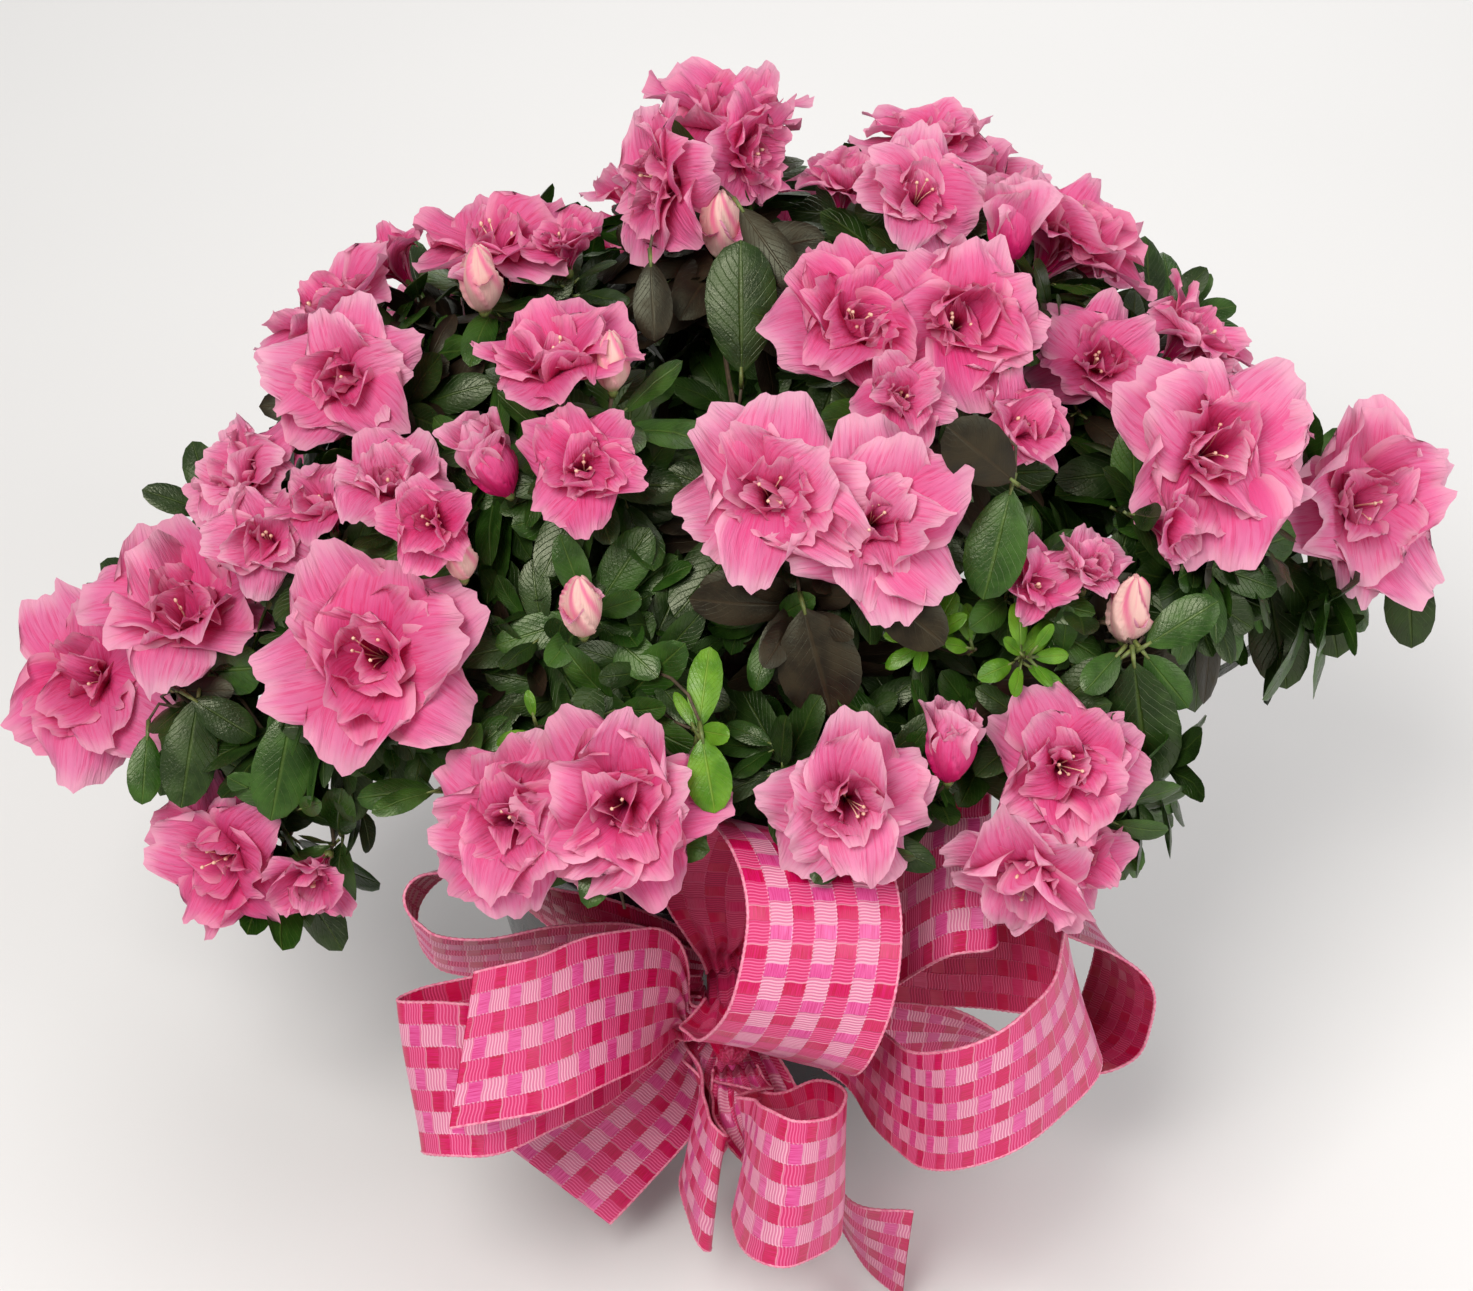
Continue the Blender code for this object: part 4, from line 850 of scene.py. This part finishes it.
def ribbon_stations(name):
    """The middle and the direction across at each station, with two more at each end at the knot."""
    start, end, between = RIBBONS[name]
    found = [(in_metres(station[:3]), unit(station[3:])) for station in between]
    for root, where in ((start, 0), (end, len(found) + 2)):
        if root is not None:
            angle = radians(root[0])
            away = np.array((cos(angle), 0, sin(angle)))
            middle = np.array((KNOT_CENTRE[0], -root[1] * MM, KNOT_CENTRE[2]))
            direction = np.array((away[2], 0, -away[0]))
            if direction.dot(found[min(where, len(found) - 1)][1]) < 0:
                direction = -direction
            near = (middle + away * (KNOT_RADIUS + CLEARANCE), direction)
            far = (middle + away * (KNOT_RADIUS + RIBBON_LEAD), direction)
            found = found + [far, near] if where else [near, far] + found
    return found


def smooth_between(values):
    """Catmull-Rom through the values."""
    found = []
    for i in range(len(values) - 1):
        before, here, ahead, after = (values[min(max(i + k, 0), len(values) - 1)] for k in (-1, 0, 1, 2))
        for k in range(RIBBON_STEPS):
            t = k / RIBBON_STEPS
            found.append(0.5 * (2 * here + (ahead - before) * t
                                + (2 * before - 5 * here + 4 * ahead - after) * t**2
                                + (3 * here - before - 3 * ahead + after) * t**3))
    return np.array(found + [values[-1]])


def ribbon(name, finishes):
    """One length of ribbon: a thin band with pleats at the knot, soft waves, and a wired selvedge."""
    middles, directions = (smooth_between(values) for values in zip(*ribbon_stations(name)))
    directions /= norm(directions, axis=1)[:, None]
    run = np.concatenate([[0], np.cumsum(norm(np.diff(middles, axis=0), axis=1))])
    looped = RIBBONS[name][1] is not None
    spread = smoothstep(0, RIBBON_GATHER, np.minimum(run, run[-1] - run) if looped else run)
    widths = RIBBON_ROOT_WIDTH + (RIBBON_WIDTH - RIBBON_ROOT_WIDTH) * spread
    normals = np.cross(np.gradient(middles, axis=0), directions)
    normals /= norm(normals, axis=1)[:, None]
    inside = middles.mean(axis=0) if looped else middles.mean(axis=0) - np.array((0, -1, 1)) * 50 * MM
    if (normals * (middles - inside)).sum() < 0:
        normals, directions = -normals, -directions
    draw = random.Random(name)
    phases = [draw.uniform(0, tau) for _ in range(4)]
    q = np.linspace(-1, 1, 25)[None]
    along = run[:, None]
    narrow = (1 - spread)[:, None]
    pleats = PLEAT_DEPTH * np.minimum(1, 1.6 * narrow) * np.sin(PLEATS * pi * q + phases[0])
    waves = 0.5 * MM * (1 - narrow) * np.abs(q) ** 3 * np.sin(along / (5 * MM) + phases[1] + 1.5 * (q > 0))
    waves = waves + 0.35 * MM * (1 - narrow) * np.sin(along / (13 * MM) + 2.3 * q + phases[2])
    height = pleats + waves
    flat = middles[:, None] + (q * widths[:, None] / 2)[..., None] * directions[:, None]
    front = flat + (height + RIBBON_THICKNESS / 2)[..., None] * normals[:, None]
    reverse = flat + (height - RIBBON_THICKNESS / 2)[..., None] * normals[:, None]
    places = grid(FACE_BAND[0] + FACE_BAND[1] * (q + 1) / 2, along / WEAVE_REACH)
    made = Pile()
    made.add(front, places)
    made.add(reverse[:, ::-1], (places + (0.5, 0))[:, ::-1], finish=1)
    for column in (0, -1):
        rim = (front[:, column] + reverse[:, column]) / 2
        beads = 2 * int(run[-1] / (1.6 * MM))
        at = np.linspace(0, run[-1], beads)
        path = np.stack([np.interp(at, run, rim[:, axis]) for axis in range(3)], -1)
        radii = np.where(np.arange(beads) % 2 == 0, 0.52, 0.36) * MM
        made.add(rings_round(path, radii, 5), np.full((beads, 5, 2), 0.5), wrap=True,
                 first=path[0], last=path[-1], hub=(0.5, 0), finish=2)
    solids = [node for node in nodes if node in (name, name + "_front", name + "_back")]
    made.piece(name.replace("ribbon", "bow"), finishes, "ribbon", solids)


def knot(finish):
    """The tied middle of the bow: ribbon gathered into folds, in front of the pot."""
    low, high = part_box("ribbon_knot")
    share = np.linspace(0, 1, 40)
    path = np.array([(KNOT_CENTRE[0], high[1] + (low[1] - high[1]) * step, KNOT_CENTRE[2]) for step in share])
    radii = KNOT_RADIUS * np.sqrt(np.clip(1 - np.clip((share - 0.55) / 0.451, 0, 1) ** 2.6, 0.002, 1))
    angle = np.linspace(0, tau, 96, endpoint=False)[None]
    share = share[:, None]
    folds = np.sin(11 * angle + 2.4 * share) + 0.5 * np.sin(5 * angle - 4 * share)
    rings = path[:, None] + (rings_round(path, radii, 96) - path[:, None]) * (0.9 + 0.066 * folds)[..., None]
    places = grid(FACE_BAND[0] + 0.5 + FACE_BAND[1] * (angle / tau), share * 30 * MM / WEAVE_REACH)
    made = Pile()
    made.add(rings, places, wrap=True, first=path[0], last=path[-1], hub=(0.6, 0))
    made.piece("bow_knot", [finish], "ribbon", ["ribbon_knot"])


# Pot, soil, trunk and boughs

def turned(profile, sides):
    angle = np.linspace(0, tau, sides, endpoint=False)
    profile = np.array(profile)
    radius, height = profile[:, :1], profile[:, 1:]
    return np.stack([radius * np.cos(angle), radius * np.sin(angle), height + 0 * angle], -1)


def rounded(profile, radius, steps=4):
    """The profile with each inner corner turned on an arc of about this radius."""
    profile = np.array(profile, float)
    found = [profile[0]]
    for before, here, after in zip(profile, profile[1:], profile[2:]):
        into, away = before - here, after - here
        cut = min(radius, 0.45 * norm(into), 0.45 * norm(away))
        start, end = here + unit(into) * cut, here + unit(away) * cut
        t = np.linspace(0, 1, steps + 1)[:, None]
        found += list(start * (1 - t) ** 2 + 2 * here * t * (1 - t) + end * t**2)
    return found + [profile[-1]]


def pot(finish):
    shoulder = POT_HEIGHT - POT_RIM_DEPTH
    inner = POT_SHOULDER_RADIUS - POT_WALL
    profile = [
        (1 * MM, 0), (POT_BASE_RADIUS - 9 * MM, 0), (POT_BASE_RADIUS - 2 * MM, 0), (POT_BASE_RADIUS, 3 * MM),
        (POT_SHOULDER_RADIUS - 1 * MM, shoulder - 4 * MM), (POT_SHOULDER_RADIUS, shoulder),
        (POT_RIM_RADIUS - 0.6 * MM, shoulder + 0.5 * MM), (POT_RIM_RADIUS, shoulder + 4 * MM),
        (POT_RIM_RADIUS - 0.2 * MM, POT_HEIGHT - 2.5 * MM), (POT_RIM_RADIUS, POT_HEIGHT),
        (POT_RIM_RADIUS - 2 * MM, POT_HEIGHT), (POT_RIM_RADIUS - 2.2 * MM, POT_HEIGHT - 4 * MM),
        (inner, shoulder), (inner - 2 * MM, shoulder - 12 * MM),
    ]
    made = Pile()
    made.add(turned(rounded(profile, 0.9 * MM), 144), wrap=True, first=(0, 0, 0))
    made.piece("plant_pot", [finish], "pot", ["pot"], pattern=False)


def soil(finish):
    """The peat's crumbly top, from the pot's wall up to the trunk."""
    inner = POT_SHOULDER_RADIUS - POT_WALL - 0.1 * MM
    radius = np.linspace(2 * MM, inner, 60)
    height = SOIL_TOP + SOIL_CROWN * smoothstep(inner, TRUNK_FOOT_RADIUS, radius)
    rings = turned(list(zip(radius, height)), 180)
    for point in rings.reshape(-1, 3):
        rough = noise.fractal(Vector(point * 160), 0.8, 2.2, 4) * 1.2 * MM
        point[2] += min(rough, 1.5 * MM)
    made = Pile()
    made.add(rings, wrap=True, first=(0, 0, SOIL_TOP + SOIL_CROWN))
    made.piece("peat", [finish], "peat", ["soil"], pattern=False)


def bark_limb(pile, path, radii, sides, depth):
    """A limb whose bark stands up in long ridges and cracks."""
    rings = rings_round(path, radii, sides)
    for ring, middle in zip(rings, path):
        for point in ring:
            rough = noise.fractal(Vector(point * (330, 330, 110)), 0.9, 2.1, 3)
            point += unit(point - middle) * depth * float(np.clip(rough, -1, 1))
    pile.add(rings, wrap=True, first=path[0], last=path[-1])


def limbs(finish):
    """Trunk, boughs and stems as one branching piece, each rooted in what carries it."""
    made = Pile()
    foot = SOIL_TOP + SOIL_CROWN - 1 * MM
    heights = np.linspace(foot, TRUNK_TOP - 1 * MM, 44)
    marks = np.array((0, 3, 8, 20, 34, 37)) * MM + foot
    flare = np.array((13, 10, 8.5, 8.1, 7, 4)) * MM
    path = np.array([trunk_middle(height) for height in heights])
    bark_limb(made, path, np.interp(heights, marks, flare), 36, 0.7 * MM)
    for name in BOUGHS:
        path = np.vstack([trunk_middle(BOUGHS[name][0]), bough_path(name, 26)])
        radii = np.linspace(BOUGH_BASE_RADIUS + 0.5 * MM, BOUGH_TIP_RADIUS - 0.5 * MM, len(path))
        bark_limb(made, path, radii, 12, 0.35 * MM)
    for name in MASSES:
        path = stem_path(name, 10)
        path = np.vstack([path[0] - (path[1] - path[0]) * 2, path])
        bark_limb(made, path, np.linspace(STEM_RADIUS + 0.5 * MM, TWIG_RADIUS, len(path)), 9, 0.15 * MM)
    made.piece("limbs", [finish], "bark", ["trunk", *BOUGHS], pattern=False)


# Materials

def paint(colour):
    return (*colour, 1) if isinstance(colour, tuple) and len(colour) == 3 else colour


def put(tree, kind, inputs, out=0, **settings):
    """Adds a node with these inputs, each a value or another node's wire, and gives its output as one."""
    made = tree.nodes.new(kind)
    for key, value in settings.items():
        setattr(made, key, value)
    for socket, value in inputs.items():
        if isinstance(value, Wire):
            tree.links.new(value.socket, made.inputs[socket])
        else:
            made.inputs[socket].default_value = value
    return Wire(tree, made.outputs[out])


class Wire:
    """A node's output. Sums with wires and numbers add the nodes that work them out."""

    def __init__(self, tree, socket):
        self.tree = tree
        self.socket = socket

    def calc(self, operation, *others, **settings):
        inputs = dict(enumerate((self, *others)))
        return put(self.tree, "ShaderNodeMath", inputs, operation=operation, **settings)

    __add__ = partialmethod(calc, "ADD")
    __sub__ = partialmethod(calc, "SUBTRACT")
    __mul__ = partialmethod(calc, "MULTIPLY")
    __truediv__ = partialmethod(calc, "DIVIDE")
    __abs__ = partialmethod(calc, "ABSOLUTE")

    def between(self, low, high, start=0.0, end=1.0):
        """From start at low, in a smooth step, to end at high."""
        return put(self.tree, "ShaderNodeMapRange", {0: self, 1: low, 2: high, 3: start, 4: end},
                   interpolation_type="SMOOTHSTEP")

    def mix(self, a, b):
        """From a to b, each a colour or a wire, by this share."""
        return put(self.tree, "ShaderNodeMix", {0: self, 6: paint(a), 7: paint(b)}, out=2, data_type="RGBA")

    def stretch(self, x, y, z=1):
        return put(self.tree, "ShaderNodeMapping", {"Vector": self, "Scale": (x, y, z)})

    def noise(self, scale, detail=3.0, rough=0.55, distorted=0.0):
        return put(self.tree, "ShaderNodeTexNoise", {"Vector": self, "Scale": scale, "Detail": detail,
                                                     "Roughness": rough, "Distortion": distorted})


class Finish:
    """A material in the making: what is even all over is set on its shader, and the rest is wired."""

    def __init__(self, name, **sockets):
        self.material = bpy.data.materials.new(name)
        self.material.use_nodes = True
        self.tree = self.material.node_tree
        self.shader = self.tree.nodes["Principled BSDF"]
        self.in_object = put(self.tree, "ShaderNodeTexCoord", {}, out=3)
        for socket, value in sockets.items():
            self.shader.inputs[socket.replace("_", " ")].default_value = paint(value)

    def pattern(self):
        """The piece's own pattern as (map, across, along)."""
        mapped = put(self.tree, "ShaderNodeUVMap", {}, uv_map="OFBake")
        across_it = put(self.tree, "ShaderNodeSeparateXYZ", {0: mapped})
        return mapped, across_it, Wire(self.tree, across_it.socket.node.outputs[1])

    def wired(self, colour, rough=None, height=None, distance=0.3 * MM, strength=1.0, through=0):
        """The material with these wires, which lets a share of the light through."""
        bump = height and put(self.tree, "ShaderNodeBump",
                              {"Height": height, "Distance": distance, "Strength": strength})
        for socket, wire in (("Base Color", colour), ("Roughness", rough), ("Normal", bump)):
            if wire:
                self.tree.links.new(wire.socket, self.shader.inputs[socket])
        if through:
            shader = Wire(self.tree, self.shader.outputs[0])
            passed = put(self.tree, "ShaderNodeBsdfTranslucent", {"Color": colour})
            both = put(self.tree, "ShaderNodeMixShader", {0: through, 1: shader, 2: passed})
            self.tree.links.new(both.socket, self.tree.nodes["Material Output"].inputs["Surface"])
        return self.material


def petal_material(name, throat, middle, edge, rim):
    """Deep at the throat, lighter to a pale rim, with darker veins that fan from the foot."""
    made = Finish(name, Roughness=0.5, Specular_IOR_Level=0.14)
    mapped, u, v = made.pattern()
    veins = mapped.stretch(17, 1.3).noise(1.0, 3.0, 0.6, 0.35)
    fine = mapped.stretch(38, 2.2).noise(1.0, 2.0, 0.5, 0.25)
    blotch = made.in_object.noise(55.0, 2.0)
    along = v + (veins * 0.45 + (blotch * 0.5 - 0.46))
    colour = along.between(0.15, 0.6).mix(throat, middle)
    colour = along.between(0.5, 1.0).mix(colour, edge)
    streaks = veins.between(0.53, 0.61).calc("MAXIMUM", fine.between(0.56, 0.63, 0.0, 0.7))
    colour = (streaks * v.between(0.1, 1.0, 0.85, 0.45)).mix(colour, throat)
    crimp = veins * 0.16 - 0.08
    outer = (v + crimp).between(0.84, 1.0).calc("MAXIMUM", (abs(u - 0.5) + crimp * 0.5).between(0.37, 0.5))
    colour = (outer * 0.85).mix(colour, rim)
    crinkle = mapped.stretch(9, 3).noise(1.0, 4.0, 0.6, 0.5)
    return made.wired(colour, None, veins * 0.8 + crinkle, 1.0 * MM, 0.8, through=0.3)


# Three near tones of one bloom colour, each as throat, middle, edge and rim.
PETAL_PINKS = {
    "pale": ((0.79, 0.026, 0.21), (0.80, 0.15, 0.36), (0.82, 0.29, 0.48), (0.86, 0.46, 0.59)),
    "mid": ((0.76, 0.018, 0.18), (0.78, 0.11, 0.31), (0.80, 0.23, 0.43), (0.84, 0.40, 0.54)),
    "deep": ((0.72, 0.011, 0.14), (0.75, 0.075, 0.26), (0.78, 0.17, 0.37), (0.82, 0.33, 0.48)),
}


def leaf_material(name, low, high, rib, rough, veined=1.0):
    """Mottled between two greens, with a pale midrib and faint side veins."""
    made = Finish(name, Roughness=rough, Specular_IOR_Level=0.2 + 0.3 * veined,
                  Specular_Tint=(0.95, 1.0, 0.72))
    mapped, u, v = made.pattern()
    patches = made.in_object.noise(130.0, 3.0)
    off_rib = abs(u - 0.5)
    rib_line = off_rib.between(0.012, 0.045, 1.0, 0.0)
    wave = abs((v * 11.0 - off_rib * 7.0).calc("FRACT") - 0.5)
    veins = wave.between(0.0, 0.09, 1.0, 0.0)
    marks = (rib_line * 0.34).calc("MAXIMUM", veins * (0.16 * veined))
    colour = marks.mix(patches.between(0.35, 0.7).mix(low, high), rib)
    height = made.in_object.noise(1400.0, 2.0) * 0.4 - rib_line.calc("MAXIMUM", veins * 0.24)
    rough_here = patches.between(0.3, 0.8, rough - 0.08, rough + 0.12)
    return made.wired(colour, rough_here, height, 0.4 * MM, 0.7 * veined, through=0.12)


# Each tone as its two greens, its midrib's colour, its roughness and how clear its veins are.
LEAF_GREENS = {
    "dark": ((0.010, 0.026, 0.005), (0.021, 0.052, 0.007), (0.08, 0.13, 0.02), 0.35),
    "green": ((0.016, 0.052, 0.006), (0.037, 0.105, 0.011), (0.12, 0.19, 0.035), 0.35),
    "bronze": ((0.012, 0.007, 0.005), (0.026, 0.016, 0.008), (0.05, 0.03, 0.014), 0.4, 0.5),
    "young": ((0.06, 0.18, 0.007), (0.13, 0.30, 0.011), (0.28, 0.40, 0.06), 0.36),
}


def grainy(name, low, high, scale, rough, depth, stretch=(1, 1, 1), **sockets):
    """A plain material of two near colours with a grain, for bark, stalks, peat and plastic."""
    made = Finish(name, Roughness=rough, **sockets)
    coords = made.in_object.stretch(*stretch)
    grain = coords.noise(scale, 5.0, 0.62)
    fine = coords.noise(scale * 5, 2.0)
    rough_here = fine.between(0.3, 0.7, rough - 0.05, rough + 0.05)
    return made.wired(grain.between(0.32, 0.68).mix(low, high), rough_here, fine * 0.35 + grain, depth, 0.8)


def bud_material():
    """Cream at the foot and between the folds, pink along each rolled edge."""
    made = Finish("bud_petal", Roughness=0.45, Specular_IOR_Level=0.35)
    mapped, u, v = made.pattern()
    fold = abs((v * 1.3 + u * 5.0).calc("FRACT") - 0.5)
    veins = mapped.stretch(60, 2).noise(1.0, 2.0)
    pink = fold.between(0.2, 0.5).calc("ADD", veins.between(0.5, 0.7, 0.0, 0.4), use_clamp=True)
    colour = (pink * v.between(0.1, 0.75, 0.25, 0.95)).mix((0.88, 0.56, 0.50), (0.85, 0.19, 0.34))
    colour = v.between(0.0, 0.16, 0.8, 0.0).mix(colour, (0.45, 0.5, 0.15))
    return made.wired(colour, None, veins, 0.4 * MM, 0.5, through=0.2)


# The weave: lengthwise rows of checks, ribbed ones and plain satin ones in turn, staggered row to row.
CHECK_ROWS = 7
CHECK_PERIOD = 9.5 * MM
RIBBED_SHARE = 0.6
RIB_PITCH = 0.8 * MM
STITCH_PITCH = 1.1 * MM
THREAD_BOW = 0.16 * MM


def weave_material(name, band_start, hot, pale, stitch):
    """Hot and pale are each the colour of the ribs, of the lines between them, and two of the satin: its own
    colour and a lighter one, a painted sheen.
    """
    made = Finish(name, Roughness=0.45, Sheen_Weight=0.06, Sheen_Roughness=0.35, Sheen_Tint=(0.95, 0.55, 0.9),
                  Specular_IOR_Level=0.85, Specular_Tint=(1.0, 0.75, 0.95))
    mapped, u, v = made.pattern()
    scale = CHECK_ROWS / FACE_BAND[1]
    rows = u * scale - band_start * scale
    odd = rows.calc("FLOOR").calc("MODULO", 2.0)
    metres = v * WEAVE_REACH + (rows * tau).calc("SINE") * THREAD_BOW
    phase = (odd * 0.5 + metres / CHECK_PERIOD).calc("FRACT")
    satin = phase.between(RIBBED_SHARE - 0.02, RIBBED_SHARE + 0.02) * phase.between(0.97, 0.99, 1.0, 0.0)
    ribs = (metres * (tau / RIB_PITCH)).calc("SINE").between(-0.6, 0.9)
    threads = mapped.stretch(500, 90).noise(1.0, 1.0)
    # Painted sheen: along a fine thread pattern the satin checks go from their own colour to a lighter one,
    # standing in for the light the satin catches.
    painted_thread_sheen = threads.between(0.35, 0.65)
    hot_checks, pale_checks = (
        satin.mix(ribs.mix(line, rib), painted_thread_sheen.mix(*satin_and_painted_sheen)) for rib, line, *satin_and_painted_sheen in (hot, pale))
    colour = odd.mix(hot_checks, pale_checks)
    border = abs(rows.calc("FRACT") - 0.5).between(0.44, 0.5)
    stitches = (metres * (tau / STITCH_PITCH)).calc("SINE").between(0.0, 0.5)
    colour = (border * (stitches * 0.5)).mix(colour, stitch)
    colour = (phase.between(0.0, 0.035, 1.0, 0.0) * 0.65).mix(colour, hot[1])
    colour = (abs(phase - RIBBED_SHARE).between(0.03, 0.0) * 0.45).mix(colour, stitch)
    plain = satin * -1 + 1
    height = plain * (ribs * 0.6 + 0.4) - border * 0.6
    height = made.in_object.noise(70.0, 2.0) * 4.0 + (threads * 0.25 + height)
    return made.wired(colour, satin * -0.3 + 0.6, height, 0.22 * MM, 0.8, through=0.15)


def ribbon_materials():
    # Each row's colours: ribs, lines between them, satin, and the satin's lighter painted sheen.
    front = weave_material(
        "ribbon_front", FACE_BAND[0],
        ((0.84, 0.13, 0.31), (0.66, 0.012, 0.13), (0.52, 0.0, 0.045), (0.68, 0.003, 0.13)),
        ((0.92, 0.45, 0.58), (0.72, 0.19, 0.34), (0.64, 0.03, 0.20), (0.80, 0.12, 0.38)), (0.95, 0.64, 0.73))
    reverse = weave_material(
        "ribbon_reverse", FACE_BAND[0] + 0.5,
        ((0.66, 0.025, 0.14), (0.48, 0.002, 0.06), (0.52, 0.0, 0.04), (0.60, 0.004, 0.08)),
        ((0.74, 0.10, 0.23), (0.56, 0.01, 0.09), (0.58, 0.008, 0.09), (0.66, 0.04, 0.16)), (0.76, 0.17, 0.30))
    selvedge = grainy("ribbon_selvedge", (0.66, 0.11, 0.23), (0.80, 0.32, 0.42), 900.0, 0.5, 0.1 * MM)
    return [front, reverse, selvedge]


# Camera, floor and light

IMAGE_WIDTH = 1473
FOCAL_PIXELS = 2979
SENSOR = 36
CAMERA_PLACE = (0, -0.68766, 0.64962)
CAMERA_AIM = Vector((0.004, -0.0075, 0.14))


def aimed(data, place):
    """Sets a camera or a light at a place, and turns it to the crown."""
    made = bpy.data.objects.new(data.name, data)
    made.location = place
    made.rotation_euler = (CAMERA_AIM - Vector(place)).to_track_quat("-Z", "Y").to_euler()
    scene.collection.objects.link(made)
    return made


def studio():
    lens = bpy.data.cameras.new("camera")
    lens.sensor_width = SENSOR
    lens.lens = FOCAL_PIXELS * SENSOR / IMAGE_WIDTH
    lens.clip_start = 0.01
    scene.camera = aimed(lens, CAMERA_PLACE)
    for name, place, size, power, colour in (
            ("key", (-0.45, -0.9, 1.35), 0.7, 21, (1.0, 0.98, 0.95)),
            ("fill", (1.0, -0.7, 0.8), 0.9, 8, (1.0, 1.0, 1.0)),
            ("back", (0.2, 1.1, 1.0), 0.8, 8, (1.0, 1.0, 1.0))):
        light = bpy.data.lights.new(name, "AREA")
        light.size, light.energy, light.color = size, power, colour
        aimed(light, place)
    world = bpy.data.worlds.new("studio")
    world.use_nodes = True
    background = world.node_tree.nodes["Background"]
    background.inputs["Color"].default_value = (1.0, 1.0, 1.0, 1)
    background.inputs["Strength"].default_value = 0.36
    scene.world = world
    scene.view_settings.view_transform = "Standard"
    mesh = bpy.data.meshes.new("floor")
    mesh.from_pydata([(-6, -6, 0), (6, -6, 0), (6, 6, 0), (-6, 6, 0)], [], [(0, 1, 2, 3)])
    made = Finish("floor", Roughness=0.75)
    soft = made.in_object.noise(3.0, 2.0)
    mesh.materials.append(made.wired(soft.mix((0.74, 0.73, 0.72), (0.78, 0.77, 0.76))))
    floor = bpy.data.objects.new("floor", mesh)
    scene.collection.objects.link(floor)


def main():
    studio()
    grow()
    crown = [("leaves_" + tone, leaf_material("leaf_" + tone, *row)) for tone, row in LEAF_GREENS.items()]
    crown += [("petals_" + tone, petal_material("petal_" + tone, *row)) for tone, row in PETAL_PINKS.items()]
    crown += [
        ("buds", bud_material()),
        ("stalks", grainy("stalk_green", (0.09, 0.13, 0.03), (0.17, 0.2, 0.05), 500.0, 0.5, 0.2 * MM)),
        ("twigs", grainy("young_bark", (0.05, 0.035, 0.02), (0.10, 0.065, 0.035), 400.0, 0.7, 0.3 * MM)),
        ("stamens", grainy("stamen", (0.75, 0.45, 0.35), (0.85, 0.6, 0.4), 600.0, 0.5, 0.1 * MM)),
    ]
    for name, finish in crown:
        heaps[name].piece(name, [finish], "bark" if name == "twigs" else "foliage", list(MASSES))
    limbs(grainy("bark", (0.035, 0.024, 0.016), (0.12, 0.085, 0.06), 170.0, 0.85, 0.8 * MM, (1, 1, 0.3)))
    pot(grainy("pot_plastic", (0.009, 0.008, 0.010), (0.014, 0.012, 0.015), 40.0, 0.24, 0.05 * MM,
               Coat_Weight=0.3, Coat_Roughness=0.15))
    soil(grainy("peat", (0.012, 0.008, 0.005), (0.06, 0.038, 0.022), 350.0, 0.95, 1.2 * MM))
    finishes = ribbon_materials()
    for name in RIBBONS:
        ribbon(name, finishes)
    knot(finishes[1])


main()
